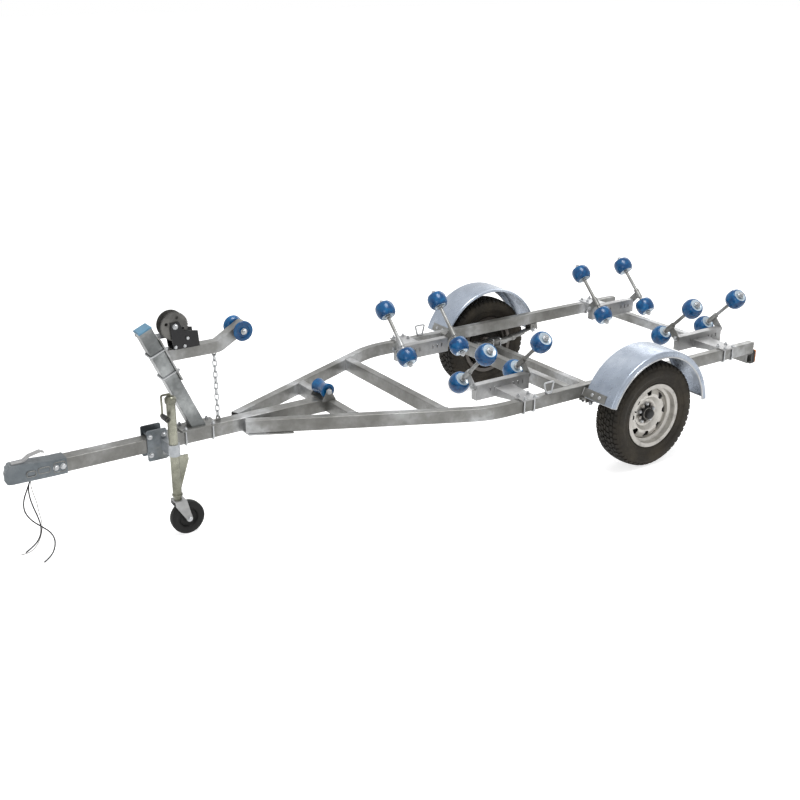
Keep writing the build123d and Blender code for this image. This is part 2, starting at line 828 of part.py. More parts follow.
with BuildPart() as jockey_wheel:
    with BuildSketch(Plane.XY.offset(jockey_radius)):
        with BuildLine():
            Polyline(
                (hub_x, jack_side + 20),
                (hub_x + 30, jack_side + 20),
                (hub_x + 34, jack_side + 13),
                (hub_x + 52, jack_side + 13),
                (hub_x + 57, jack_side + jockey_width / 2),
                (hub_x + jockey_radius - 5, jack_side + jockey_width / 2 - 1),
                (hub_x + jockey_radius, jack_side + jockey_width / 2 - 8),
                (hub_x + jockey_radius, jack_side - jockey_width / 2 + 8),
                (hub_x + jockey_radius - 5, jack_side - jockey_width / 2 + 1),
                (hub_x + 57, jack_side - jockey_width / 2),
                (hub_x + 52, jack_side - 13),
                (hub_x + 34, jack_side - 13),
                (hub_x + 30, jack_side - 20),
                (hub_x, jack_side - 20),
                close=True,
            )
        make_face()
    revolve(axis=Axis((hub_x, 0, jockey_radius), (0, 1, 0)))
    with BuildSketch(Plane.XZ.offset(-jack_side)):
        with Locations((hub_x, jockey_radius)):
            Circle(pivot_pin_radius + pin_clearance)
    extrude(amount=jockey_width, both=True, mode=Mode.SUBTRACT)
save(jockey_wheel, "jockey_wheel")

# ---- Winch post, arm and bow roller -----------------------------------------------
lean = radians(post_lean)
foot_top = frame_top + foot_plate_thickness
post_plane = Plane(origin=(ahead(post_foot_ahead), 0, foot_top), x_dir=(cos(lean), 0, -sin(lean)),
                   z_dir=(sin(lean), 0, cos(lean)))
with BuildPart() as post_foot:
    with BuildSketch(Plane.XY.offset(frame_top)):
        with Locations((ahead(post_foot_ahead), 0)):
            RectangleRounded(foot_plate_length, foot_plate_width, 8)
            with GridLocations(2 * foot_bolt_shift, 2 * leg_side(drawbar_width), 2, 2):
                Circle(rod_radius + seat_gap, mode=Mode.SUBTRACT)
    extrude(amount=foot_plate_thickness)
save(post_foot, "post_foot")

with BuildPart() as winch_post:
    with BuildSketch(post_plane.offset(-post_size)):
        tube_section(post_size, post_size)
    extrude(amount=post_length + post_size)
    split(bisect_by=Plane.XY.offset(foot_top), keep=Keep.TOP)
save(winch_post, "winch_post")

with BuildPart() as post_cap:
    with BuildSketch(post_plane.offset(post_length)):
        Rectangle(post_size + 2, post_size + 2)
    extrude(amount=cap_height)
    chamfer(post_cap.faces().sort_by(Axis((0, 0, 0), post_plane.z_dir))[-1].edges(), 5)
    with BuildSketch(post_plane.offset(post_length - 25)):
        Rectangle(post_size - 2 * tube_wall - 4, post_size - 2 * tube_wall - 4)
    extrude(amount=25)
save(post_cap, "post_cap")

# The arm is welded to a plate on the post's rear face, and turns up to the bow roller.
arm_z = arm_top - arm_size / 2
plate_centre_up = (arm_z - foot_top - post_size / 2 * sin(lean)) / cos(lean)
plate_plane = Plane(
    origin=post_plane.from_local_coords((-post_size / 2, 0, plate_centre_up)),
    x_dir=(0, 1, 0),
    z_dir=(-cos(lean), 0, sin(lean)),
)
roller_centre = (ahead(bow_roller_ahead), bow_roller_z)
arm_bend = (ahead(arm_bend_ahead), arm_z)
rise = atan2(bow_roller_z - arm_z, arm_bend_ahead - bow_roller_ahead)
tip_reach = 22
with BuildPart() as bow_arm:
    for half_size, tip in ((arm_size / 2, tip_reach), (arm_size / 2 - tube_wall, -tip_reach)):
        with BuildSketch(Plane.XZ):
            with BuildLine():
                FilletPolyline(
                    (plate_plane.origin.X + arm_size, arm_z),
                    arm_bend,
                    (roller_centre[0] - tip * cos(rise), roller_centre[1] + tip * sin(rise)),
                    radius=arm_size,
                )
                offset(amount=half_size, side=Side.BOTH)
            make_face()
        extrude(amount=half_size, both=True, mode=Mode.ADD if tip > 0 else Mode.SUBTRACT)
    split(bisect_by=plate_plane.offset(arm_plate_thickness / 2), keep=Keep.TOP)
    with BuildSketch(plate_plane):
        with Locations((0, -(arm_plate_above - arm_plate_below) / 2)):
            RectangleRounded(arm_plate_width, arm_plate_above + arm_plate_below, 8)
        with Locations(*[(end * leg_side(post_size), -shift)
                         for shift in post_bolt_shifts for end in (-1, 1)]):
            Circle(rod_radius + seat_gap, mode=Mode.SUBTRACT)
    extrude(amount=arm_plate_thickness)
    with BuildSketch(Plane.XZ):
        with Locations(roller_centre):
            Circle(pivot_radius)
    extrude(amount=arm_size / 2 + 2 * (seat_gap + 2) + bow_roller_thickness + 8, both=True)
    with BuildSketch(Plane.XZ):
        chain_eye_outline(top_eye_z, arm_top - arm_size + tube_wall / 2)
    extrude(amount=eye_thickness / 2, both=True)
save(bow_arm, "bow_arm")

disc_inside = arm_size / 2 + 5
with BuildPart() as bow_roller:
    with BuildSketch(Plane.XY.offset(bow_roller_z)):
        with BuildLine():
            Polyline(
                (roller_centre[0] + pivot_radius + pin_clearance, disc_inside),
                (roller_centre[0] + bow_roller_radius - 12, disc_inside),
                (roller_centre[0] + bow_roller_radius, disc_inside + bow_roller_thickness - 8),
                (roller_centre[0] + bow_roller_radius - 5, disc_inside + bow_roller_thickness),
                (roller_centre[0] + pivot_radius + pin_clearance, disc_inside + bow_roller_thickness),
                close=True,
            )
        make_face()
    revolve(axis=Axis((roller_centre[0], 0, bow_roller_z), (0, 1, 0)))
    mirror(about=Plane.XZ)
save(bow_roller, "bow_roller")

# ---- Winch ------------------------------------------------------------------------
drum_x = ahead(drum_ahead)
gear_radius = gear_teeth * gear_module / 2
pinion_radius = pinion_teeth * gear_module / 2
shaft_spacing = gear_radius + pinion_radius
pinion_x = drum_x + shaft_spacing * cos(radians(pinion_direction))
pinion_z = drum_z + shaft_spacing * sin(radians(pinion_direction))
gear_side = frame_half_width - winch_steel - drum_side_gap - gear_thickness


def gear_outline(teeth, turned):
    """Corner points of a gear with thinned straight-sided teeth about the origin."""
    pitch_radius = teeth * gear_module / 2
    pitch = 360 / teeth
    points = []
    for tooth in range(teeth):
        middle = tooth * pitch + turned
        for radius, share in (
            (pitch_radius - 1.25 * gear_module, -0.33),
            (pitch_radius + 0.9 * gear_module, -0.12),
            (pitch_radius + 0.9 * gear_module, 0.12),
            (pitch_radius - 1.25 * gear_module, 0.33),
        ):
            angle = radians(middle + share * pitch)
            points.append((radius * cos(angle), radius * sin(angle)))
    return points


with BuildPart() as winch_frame:
    with BuildSketch(Plane.XZ):
        with BuildLine():
            Polyline(
                (pinion_x - 66, arm_top),
                (drum_x + 16, arm_top),
                (drum_x + 26, drum_z - 20),
                (drum_x + 24, drum_z + 20),
                (drum_x - 22, drum_z + 22),
                (pinion_x + 20, pinion_z + 42),
                (pinion_x - 60, pinion_z + 30),
                close=True,
            )
        make_face()
    extrude(amount=frame_half_width, both=True)
    with BuildSketch(Plane.XZ):
        with Locations((drum_x, arm_top + winch_steel + 200)):
            Rectangle(500, 400)
    extrude(amount=frame_half_width - winch_steel, both=True, mode=Mode.SUBTRACT)
    with BuildSketch(Plane.XZ):
        with Locations((drum_x, drum_z), (pinion_x, pinion_z)):
            Circle(shaft_radius + pin_clearance)
    extrude(amount=frame_half_width, both=True, mode=Mode.SUBTRACT)
save(winch_frame, "winch_frame")

# The drum turns on its shaft: core, far flange, and the big gear as its near flange.
drum_plane = Plane(origin=(drum_x, 0, drum_z), x_dir=(1, 0, 0), z_dir=(0, -1, 0))
with BuildPart() as winch_drum:
    with BuildSketch(drum_plane.offset(-gear_side - gear_thickness)):
        Polygon(*gear_outline(gear_teeth, pinion_direction + 180 / gear_teeth), align=None)
        with PolarLocations(gear_radius * 0.62, 4, start_angle=20):
            Circle(9, mode=Mode.SUBTRACT)
    extrude(amount=gear_thickness)
    with BuildSketch(drum_plane.offset(gear_side + gear_thickness - drum_flange_thickness)):
        Circle(gear_radius)
    extrude(amount=drum_flange_thickness)
    with BuildSketch(drum_plane):
        Circle(drum_core_radius)
    extrude(amount=gear_side + 1, both=True)
    with BuildSketch(drum_plane):
        Circle(shaft_radius)
    extrude(amount=frame_half_width + 9, both=True)
save(winch_drum, "winch_drum")

# The crank turns the pinion through a shaft right across the frame.
pinion_plane = Plane(origin=(pinion_x, 0, pinion_z), x_dir=(1, 0, 0), z_dir=(0, -1, 0))
with BuildPart() as winch_crank:
    with BuildSketch(pinion_plane.offset(-gear_side - gear_thickness - 1)):
        Polygon(*gear_outline(pinion_teeth, pinion_direction + 180), align=None)
    extrude(amount=gear_thickness + 2)
    with BuildSketch(pinion_plane.offset(-frame_half_width - 9)):
        Circle(shaft_radius)
    extrude(amount=2 * frame_half_width + 9 + 34)
    with BuildSketch(pinion_plane.offset(frame_half_width + 20)):
        with Locations((crank_length / 2, 0)):
            SlotCenterToCenter(crank_length, 30)
    extrude(amount=6)
    with BuildSketch(pinion_plane.offset(frame_half_width + 26)):
        with Locations((crank_length, 0)):
            Circle(grip_radius)
    extrude(amount=grip_length)
save(winch_crank, "winch_crank")

# ---- Wobble-roller cradles --------------------------------------------------------
# On each beam two roller pairs rock on pins along the trailer, and the rollers turn.
pair_run = upper_roller_side - lower_roller_side
pair_rise = upper_roller_z - lower_roller_z
pair_length = hypot(pair_run, pair_rise)
pivot_along = ((cradle_side - lower_roller_side) * pair_run
               + (pivot_z - lower_roller_z) * pair_rise) / pair_length
saddle_side = lower_roller_side + pivot_along * pair_run / pair_length
saddle_z = lower_roller_z + pivot_along * pair_rise / pair_length
slot_spacing = 34
slot_width = 9
slot_height = 24
slot_z = beam_bottom + 52
crown = roller_radius - roller_end_radius
crown_steps = (0.7, 0.3, -0.3, -0.7)
beam_half_length = arm_pair_half_spacing - lug_thickness / 2 - lug_gap
drop = hypot(cradle_side - saddle_side, pivot_z - saddle_z)
end_reach = roller_length / 2 + roller_end_gap + collar_length + 10
with BuildPart() as cradle_brackets:
    for cradle_name, place in cradle_ahead:
        for side in (1, -1):
            near_side = cradle_side + beam_width / 2
            with BuildSketch(Plane.XY.offset(frame_top)):
                with Locations((ahead(place), side * (near_side + rail_outer_side + bracket_lip) / 2)):
                    Rectangle(cradle_plate_length, rail_outer_side + bracket_lip - near_side)
                with Locations((ahead(place), side * rail_half_spread)):
                    with GridLocations(2 * cradle_bolt_shift, 2 * leg_side(rail_width), 2, 2):
                        Circle(rod_radius + seat_gap, mode=Mode.SUBTRACT)
            extrude(amount=cradle_plate)
            for shift in (-1, 1):
                gusset_x = ahead(place) + shift * (cradle_plate_length / 2 - 4)
                with BuildSketch(Plane.YZ.offset(gusset_x)):
                    with BuildLine():
                        Polyline(
                            (side * near_side, frame_top),
                            (side * near_side, beam_bottom + 4),
                            (side * (near_side + 30), beam_bottom + 4),
                            (side * (rail_half_spread - rail_width / 2 - seat_gap), frame_top - 14),
                            (side * (rail_half_spread - rail_width / 2 - seat_gap), frame_top),
                            close=True,
                        )
                    make_face()
                extrude(amount=4, both=True)
save(cradle_brackets, "cradle_brackets")

for cradle_name, place in cradle_ahead:
    for side_name, side in (("left", 1), ("right", -1)):
        label = f"{cradle_name}_{side_name}"
        with BuildPart() as cradle_beam:
            with BuildSketch(Plane.XY.offset(beam_bottom)):
                with Locations((ahead(place), side * cradle_side)):
                    Rectangle(2 * beam_half_length, beam_width)
            extrude(amount=beam_height)
            with BuildSketch(Plane.XY.offset(beam_bottom)):
                with Locations((ahead(place), side * cradle_side)):
                    Rectangle(2 * (beam_half_length - beam_end_wall), beam_width - 2 * beam_steel)
            extrude(amount=beam_height - beam_steel, mode=Mode.SUBTRACT)
            with BuildSketch(Plane.XZ.offset(-side * cradle_side)):
                with Locations((ahead(place) + 60, slot_z), (ahead(place) - 110, slot_z)):
                    with GridLocations(slot_spacing, 1, 3, 1):
                        Rectangle(slot_width, slot_height)
            extrude(amount=beam_width, both=True, mode=Mode.SUBTRACT)
            pin_root = beam_half_length - beam_end_wall / 2
            for end in (-1, 1):
                with BuildSketch(Plane.YZ.offset(ahead(place) + end * pin_root)):
                    with Locations((side * cradle_side, pivot_z)):
                        Circle(pivot_radius)
                extrude(amount=end * (arm_pair_half_spacing + lug_thickness / 2 + 14 - pin_root))
        save(cradle_beam, f"cradle_beam_{label}")

        for end_name, end in (("front", 1), ("rear", -1)):
            arm_x = ahead(place) + end * arm_pair_half_spacing
            slope = (0, side * pair_run / pair_length, pair_rise / pair_length)
            arm_plane = Plane(origin=(arm_x, side * saddle_side, saddle_z), x_dir=(1, 0, 0), z_dir=slope)
            with BuildPart() as cradle_arm:
                with BuildSketch(Plane(origin=(arm_x, side * cradle_side, pivot_z),
                                       x_dir=slope, z_dir=(1, 0, 0))):
                    Circle(lug_half_width)
                    with Locations((0, side * drop / 2)):
                        Rectangle(2 * lug_half_width, drop)
                    Circle(pivot_radius + pin_clearance, mode=Mode.SUBTRACT)
                extrude(amount=lug_thickness / 2, both=True)
                with BuildSketch(arm_plane):
                    Circle(axle_rod_radius + 6)
                extrude(amount=32, both=True)
                with BuildSketch(arm_plane.offset(-pivot_along - end_reach)):
                    Circle(axle_rod_radius)
                extrude(amount=pair_length + 2 * end_reach)
                for centre in (-pivot_along, pair_length - pivot_along):
                    for face in (-1, 1):
                        collar = centre + face * (roller_length / 2 + roller_end_gap + collar_length / 2)
                        with BuildSketch(arm_plane.offset(collar)):
                            RegularPolygon(collar_radius, 12)
                        extrude(amount=collar_length / 2, both=True)
            save(cradle_arm, f"cradle_arm_{label}_{end_name}")

            with BuildPart() as roller_pair:
                for centre in (-pivot_along, pair_length - pivot_along):
                    half = roller_length / 2
                    bore = axle_rod_radius + pin_clearance
                    with BuildSketch(Plane(origin=arm_plane.from_local_coords((0, 0, centre)),
                                           x_dir=slope, z_dir=(0, -slope[2], slope[1]))):
                        with BuildLine():
                            Polyline((-half, roller_end_radius), (-half, 30), (6 - half, 26),
                                     (6 - half, bore), (half - 6, bore), (half - 6, 26),
                                     (half, 30), (half, roller_end_radius),
                                     *[(half * along, roller_end_radius + crown * (1 - along**2))
                                       for along in crown_steps], close=True)
                        make_face()
                    revolve(axis=Axis(tuple(arm_plane.origin), slope))
            save(roller_pair, f"rollers_{label}_{end_name}")

# ---- Keel roller ------------------------------------------------------------------
keel_x = ahead(keel_roller_ahead)
keel_base_top = frame_top + bracket_steel
keel_roller_z = keel_base_top + keel_roller_lift + keel_roller_radius
cheek_side = keel_roller_length / 2 + 5
with BuildPart() as keel_bracket:
    with BuildSketch(Plane.XZ):
        with BuildLine():
            Polyline(
                (keel_x - 42, frame_top),
                (keel_x + 42, frame_top),
                (keel_x + 42, keel_base_top),
                (keel_x + 15, keel_roller_z),
            )
            RadiusArc((keel_x + 15, keel_roller_z), (keel_x - 15, keel_roller_z), -15)
            Polyline((keel_x - 15, keel_roller_z), (keel_x - 42, keel_base_top), (keel_x - 42, frame_top))
        make_face()
    extrude(amount=cheek_side + bracket_steel, both=True)
    with BuildSketch(Plane.XZ):
        with Locations((keel_x, keel_base_top + 100)):
            Rectangle(200, 200)
    extrude(amount=cheek_side, both=True, mode=Mode.SUBTRACT)
    with BuildSketch(Plane.XZ):
        with Locations((keel_x, keel_roller_z)):
            Circle(pivot_radius)
    extrude(amount=cheek_side + bracket_steel + 8, both=True)
save(keel_bracket, "keel_roller_bracket")

with BuildPart() as keel_roller:
    half = keel_roller_length / 2
    bore = pivot_radius + pin_clearance
    with BuildSketch(Plane.XY.offset(keel_roller_z)):
        with BuildLine():
            Polyline((keel_x + keel_roller_radius, half - 14), (keel_x + keel_roller_radius - 6, half),
                     (keel_x + bore, half), (keel_x + bore, -half),
                     (keel_x + keel_roller_radius - 6, -half), (keel_x + keel_roller_radius, 14 - half),
                     (keel_x + keel_roller_waist + 2, -18), (keel_x + keel_roller_waist, 0),
                     (keel_x + keel_roller_waist + 2, 18), close=True)
        make_face()
    revolve(axis=Axis((keel_x, 0, keel_roller_z), (0, 1, 0)))
save(keel_roller, "keel_roller")

# ---- U-bolts ----------------------------------------------------------------------
# Each is a rod bent square round a tube, with both legs through a plate.
bolt_planes = [
    # the plane's origin is the tube's middle, and the legs point along its +Y;
    # (plane, tube width, tube height, leg length beyond the tube)
    (Plane(origin=(ahead(post_foot_ahead) + shift, 0, rail_mid_z), x_dir=(0, 1, 0), z_dir=(1, 0, 0)),
     drawbar_width, tube_height, foot_plate_thickness + 16)
    for shift in (-foot_bolt_shift, foot_bolt_shift)
]
bolt_planes += [
    (Plane(origin=post_plane.from_local_coords((0, 0, up)), x_dir=(0, 1, 0),
           z_dir=(sin(lean), 0, cos(lean))), post_size, post_size, arm_plate_thickness + 14)
    for up in [plate_centre_up + shift for shift in post_bolt_shifts]
]
bolt_planes += [
    (Plane(origin=(ahead(place) + shift, side * rail_half_spread, rail_mid_z), x_dir=(0, 1, 0),
           z_dir=(1, 0, 0)), rail_width, tube_height, cradle_plate + 18)
    for cradle_name, place in cradle_ahead
    for side in (1, -1)
    for shift in (-cradle_bolt_shift, cradle_bolt_shift)
]
with BuildPart() as u_bolts:
    for bolt_plane, inside, height, leg in bolt_planes:
        leg_end = height / 2 + leg
        bow = -height / 2 - seat_gap - rod_radius
        reach = leg_side(inside)
        corners = [(reach, leg_end), (reach, bow), (-reach, bow), (-reach, leg_end)]
        with BuildLine(bolt_plane):
            bolt_route = FilletPolyline(*corners, radius=2 * rod_radius)
        with BuildSketch(Plane(origin=bolt_route @ 0, z_dir=bolt_route % 0)):
            RegularPolygon(rod_radius, 6)
        sweep()
save(u_bolts, "u_bolts")

# ---- Safety chain -----------------------------------------------------------------
# Links hang in turn at right angles, from an eye under the arm to one on the drawbar.
with BuildPart() as safety_chain:
    for link in range(link_count):
        link_z = top_inner_z - chain_link_inner_length / 2 - link * link_pitch
        turned = (1, 0, 0) if link % 2 == 0 else (0, 1, 0)
        link_plane = Plane(origin=(chain_x, 0, link_z), x_dir=(0, 0, 1), z_dir=turned)
        with BuildSketch(link_plane):
            SlotOverall(chain_link_inner_length + 2 * chain_wire,
                        2 * chain_link_inner_half_width + 2 * chain_wire)
            SlotOverall(chain_link_inner_length, 2 * chain_link_inner_half_width, mode=Mode.SUBTRACT)
        extrude(amount=chain_wire / 2, both=True)
save(safety_chain, "safety_chain")

# ---- Tail lamps -------------------------------------------------------------------
with BuildPart() as tail_lamps:
    for side in (1, -1):
        with BuildSketch(Plane.YZ.offset(lamp_front - lamp_housing)):
            with Locations((side * lamp_side, lamp_z)):
                RectangleRounded(lamp_width, lamp_height, lamp_corner)
        extrude(amount=lamp_housing)
        with BuildSketch(Plane.YZ.offset(-overall_length / 2)):
            with Locations((side * lamp_side, lamp_z)):
                RectangleRounded(lamp_width - 10, lamp_height - 10, lamp_corner - 5)
        extrude(amount=lamp_front - lamp_housing + overall_length / 2)
save(tail_lamps, "tail_lamps")

# ---- Wires ------------------------------------------------------------------------
# Three loose leads hang bare-ended from a clip under the coupler's roof.
wire_routes = (
    # name, radius, points as (distance ahead of the axle, to the left, up)
    ("wire_long", 3.5, (
        (3404, 12, 500), (3404, 12, 452), (3430, 14, 398), (3456, 14, 340), (3459, 15, 282),
        (3432, 16, 228), (3389, 18, 184), (3347, 20, 144), (3326, 24, 98), (3334, 32, 50),
        (3364, 46, 14), (3404, 64, 4.2),
    )),
    ("wire_short", 3.5, (
        (3399, -6, 500), (3399, -6, 452), (3420, -7, 396), (3418, -8, 338), (3405, -9, 278),
        (3388, -10, 220), (3378, -11, 164), (3388, -14, 110), (3420, -18, 66), (3468, -22, 38),
    )),
    ("wire_pale", 2.0, (
        (3392, -24, 500), (3392, -24, 454), (3402, -27, 400), (3393, -29, 346), (3380, -31, 292),
        (3376, -33, 236), (3366, -36, 182), (3368, -40, 128), (3384, -46, 76), (3412, -56, 30),
        (3446, -68, 6), (3480, -80, 2.8),
    )),
)
for wire_name, wire_radius, wire_points in wire_routes:
    points = [Vector(ahead(along), across, up) for along, across, up in wire_points]
    radii = []
    for before, here, after in zip(points, points[1:], points[2:]):
        turn = (here - before).get_angle(after - here)
        shorter = min((here - before).length, (after - here).length)
        radii.append(0.45 * shorter / tan(radians(turn / 2)))
    print(wire_name, "radii", [round(radius) for radius in radii])
    with BuildPart() as wire:
        with BuildLine():
            wire_route = FilletPolyline(*points, radius=radii)
        with BuildSketch(Plane(origin=wire_route @ 0, z_dir=wire_route % 0)) as section:
            RegularPolygon(wire_radius, 6)
        sweep()
    print(wire_name, "volume", round(wire.part.volume), "section times length",
          round(section.sketch.area * wire_route.length), "length", round(wire_route.length))
    save(wire, wire_name)
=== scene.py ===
import math
import bmesh
import bpy
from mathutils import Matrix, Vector


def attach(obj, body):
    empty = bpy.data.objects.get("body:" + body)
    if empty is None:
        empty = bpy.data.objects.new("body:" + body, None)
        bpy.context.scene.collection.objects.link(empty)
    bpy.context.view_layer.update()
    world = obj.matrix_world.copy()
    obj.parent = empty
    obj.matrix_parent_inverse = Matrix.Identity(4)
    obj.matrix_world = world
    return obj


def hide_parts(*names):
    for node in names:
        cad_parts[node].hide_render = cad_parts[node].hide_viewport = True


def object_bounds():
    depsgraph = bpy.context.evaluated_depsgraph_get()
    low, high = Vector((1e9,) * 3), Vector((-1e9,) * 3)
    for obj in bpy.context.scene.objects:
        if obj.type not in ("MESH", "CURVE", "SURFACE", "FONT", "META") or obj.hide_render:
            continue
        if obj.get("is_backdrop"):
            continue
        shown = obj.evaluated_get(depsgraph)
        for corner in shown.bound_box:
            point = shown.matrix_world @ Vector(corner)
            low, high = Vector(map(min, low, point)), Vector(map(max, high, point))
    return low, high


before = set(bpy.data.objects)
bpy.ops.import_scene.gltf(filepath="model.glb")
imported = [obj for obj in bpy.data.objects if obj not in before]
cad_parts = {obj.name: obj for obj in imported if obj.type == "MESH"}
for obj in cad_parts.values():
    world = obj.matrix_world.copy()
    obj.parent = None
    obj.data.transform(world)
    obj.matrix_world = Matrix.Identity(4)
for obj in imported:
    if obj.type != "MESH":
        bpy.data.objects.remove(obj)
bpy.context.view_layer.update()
axleX = -1.195  # the axle's place along the trailer, in metres
wheel = {"side": 805, "height": 325}  # the middle of each wheel, in millimetres


def place(x, y, z):  # millimetres ahead of the axle, to the left and up, to a point in metres
    return Vector((axleX + x / 1000, y / 1000, z / 1000))


# Shader and geometry trees
def plug(tree, slot, value):  # a link for a socket, or the socket's own value
    if isinstance(value, Num):
        value = value.socket
    if isinstance(value, bpy.types.NodeSocket):
        tree.links.new(value, slot)
    else:
        slot.default_value = value


class Num:  # a value in a tree, which takes part in plain arithmetic
    def __init__(self, tree, socket):
        self.tree = tree
        self.socket = socket

    def math(self, operation, *others):
        node = self.tree.nodes.new("ShaderNodeMath")
        node.operation = operation
        for slot, value in zip(node.inputs, (self, *others)):
            plug(self.tree, slot, value)
        return Num(self.tree, node.outputs[0])

    def __add__(self, other):
        return self.math("ADD", other)

    def __mul__(self, other):
        return self.math("MULTIPLY", other)

    def __rsub__(self, other):
        return self.math("MULTIPLY_ADD", -1.0, other)

    __radd__ = __add__
    __rmul__ = __mul__

    def step(self, low, high):  # 0 below low, 1 above high, smooth between
        node = self.tree.nodes.new("ShaderNodeMapRange")
        node.interpolation_type = "SMOOTHSTEP"
        for key, value in (("Value", self), ("From Min", low), ("From Max", high)):
            plug(self.tree, node.inputs[key], value)
        return Num(self.tree, node.outputs[0])


class Tree:  # what a shader tree and a geometry tree share
    def add(self, kind, settings={}, inputs={}):
        node = self.tree.nodes.new(kind)
        for key, value in settings.items():
            setattr(node, key, value)
        for key, value in inputs.items():
            plug(self.tree, node.inputs[key], value)
        return node


class Finish(Tree):  # one surface finish
    def __init__(self, name):
        self.material = bpy.data.materials.new(name)
        self.material.use_nodes = True
        self.tree = self.material.node_tree
        self.shader = self.tree.nodes["Principled BSDF"]
        self.place = self.add("ShaderNodeTexCoord").outputs["Object"]

    def num(self, socket):
        return Num(self.tree, socket)

    def noise(self, scale, detail=3.0, roughness=0.5, stretch=(1, 1, 1)):
        spot = self.add("ShaderNodeMapping", {}, {"Vector": self.place, "Scale": stretch})
        inputs = {"Vector": spot.outputs[0], "Scale": scale, "Detail": detail, "Roughness": roughness}
        return self.num(self.add("ShaderNodeTexNoise", {}, inputs).outputs[0])

    def mix(self, share, first, second):
        first, second = [(*c, 1.0) if isinstance(c, tuple) else c for c in (first, second)]
        return self.add("ShaderNodeMix", {"data_type": "RGBA"}, {0: share, 6: first, 7: second}).outputs[2]

    def radius(self, centre, axis):  # distance from an axle line
        value = self.place
        for operation, other in (("SUBTRACT", {1: centre}), ("CROSS_PRODUCT", {1: axis}), ("LENGTH", {})):
            node = self.add("ShaderNodeVectorMath", {"operation": operation}, {0: value, **other})
            value = node.outputs[0]
        return self.num(node.outputs["Value"])

    def end(self, colour, roughness, metallic=0.0, height=None, depth=0.001, strength=0.5, gloss=0.5):
        plug(self.tree, self.shader.inputs["Base Color"],
             (*colour, 1.0) if isinstance(colour, tuple) else colour)
        plug(self.tree, self.shader.inputs["Roughness"], roughness)
        plug(self.tree, self.shader.inputs["Metallic"], metallic)
        self.shader.inputs["Specular IOR Level"].default_value = gloss
        if height is not None:
            bump = self.add("ShaderNodeBump", {}, {"Height": height, "Distance": depth, "Strength": strength})
            self.tree.links.new(bump.outputs[0], self.shader.inputs["Normal"])
        return self.material


def galvanised(name, shade, tint, glare, spangle, roughness, metallic):
    # hot-dip zinc: broad drifts from a dull shade to a bright one, spangled, with dull runs
    f = Finish(name)
    wander = f.add("ShaderNodeTexNoise", {}, {"Vector": f.place, "Scale": 34.0})
    spot = f.add("ShaderNodeVectorMath", {"operation": "MULTIPLY_ADD"},
                 {0: wander.outputs["Color"], 1: (0.02, 0.02, 0.02), 2: f.place})
    cells = f.add("ShaderNodeTexVoronoi", {}, {"Vector": spot.outputs[0], "Scale": spangle})
    grain = f.num(f.add("ShaderNodeSeparateColor", {}, {0: cells.outputs["Color"]}).outputs[0])
    drift = f.noise(3.2, 4.0, 0.55)
    run = f.noise(9.0, 3.0, 0.55, (1, 1, 0.25))
    dull = (f.noise(13.0, 6.0, 0.65) * 0.7 + run * 0.3).step(0.5, 0.66)
    colour = f.mix(drift.step(0.3, 0.58), shade, tint)
    colour = f.mix(drift.step(0.5, 0.7), colour, glare)
    colour = f.mix(grain * 0.22, colour, tuple(0.78 * c for c in shade))
    colour = f.mix(dull * 0.25, colour, tuple(0.6 * c + 0.12 for c in tint))
    height = f.noise(260.0, 2.0) * 0.5 + f.noise(30.0, 4.0)
    return f.end(colour, grain * 0.08 + dull * 0.14 + roughness, metallic - dull * 0.2, height, 0.0006, 0.3)


def plainFinish(name, colour, roughness, metallic=0.0, vary=0.12, grainScale=300.0, gloss=0.5):
    f = Finish(name)
    cloud = f.noise(11.0, 5.0, 0.6)
    dark = tuple(c * (1 - vary) for c in colour)
    pale = tuple(min(1, c * (1 + vary)) for c in colour)
    return f.end(f.mix(cloud.step(0.3, 0.7), dark, pale), cloud * 0.14 + (roughness - 0.07), metallic,
                 f.noise(grainScale, 2.0), 0.0004, 0.3, gloss)


def tyreFinish(name, tread, wall, dust):
    f = Finish(name)
    reach = f.radius(place(0, 0, wheel["height"]), (0, 1, 0))
    cloud = f.noise(7.0, 6.0, 0.62)
    speck = f.noise(90.0, 3.0, 0.6)
    rub = reach.step(0.295, 0.321)  # the road keeps the tread clean
    dusty = (cloud.step(0.38, 0.72) * 0.6 + speck.step(0.45, 0.8) * 0.25) * (1.0 - rub * 0.55)
    colour = f.mix(dusty, f.mix(rub, wall, tread), dust)
    return f.end(colour, 0.8 - speck * 0.12, 0.0, speck + f.noise(500.0) * 0.6, 0.0007, 0.5, 0.3)


def rimFinish(name, paint, grimeAndShade):
    f = Finish(name)
    reach = f.radius(place(0, 0, wheel["height"]), (0, 1, 0))
    across = f.num(f.add("ShaderNodeSeparateXYZ", {}, {0: f.place}).outputs[1]).math("ABSOLUTE")
    cloud = f.noise(16.0, 6.0, 0.65)
    # painted shadow round the hub: the disc darkens inside 78 mm of the axle; cloudy grime adds to it, and
    # cloudy patches darken it towards the flange
    hubShadowAndGrime = (1.0 - reach.step(0.05, 0.078)) * 0.75 + cloud.step(0.5, 0.74) * 0.3
    hubShadowAndGrime = hubShadowAndGrime + reach.step(0.15, 0.176) * cloud * 0.45
    inside = 1.0 - across.step(0.8155, 0.8175)  # painted shade: the barrel behind the disc is darkened nearly to the grime colour
    colour = f.mix(inside * 0.93, f.mix(hubShadowAndGrime, paint, grimeAndShade), grimeAndShade)
    return f.end(colour, cloud * 0.2 + 0.3, 0.42, f.noise(400.0), 0.0003, 0.3)


def rollerFinish(name, deep, light, rubbed):
    f = Finish(name)
    cloud = f.noise(24.0, 5.0, 0.6)
    scuff = f.noise(60.0, 6.0, 0.7, (1, 1, 3.0)).step(0.6, 0.78)
    colour = f.mix(cloud.step(0.3, 0.75), deep, light)
    colour = f.mix(scuff * 0.18, colour, rubbed)
    return f.end(colour, scuff * 0.25 + cloud * 0.12 + 0.17, 0.0, f.noise(220.0) + cloud, 0.0005, 0.25, 0.38)


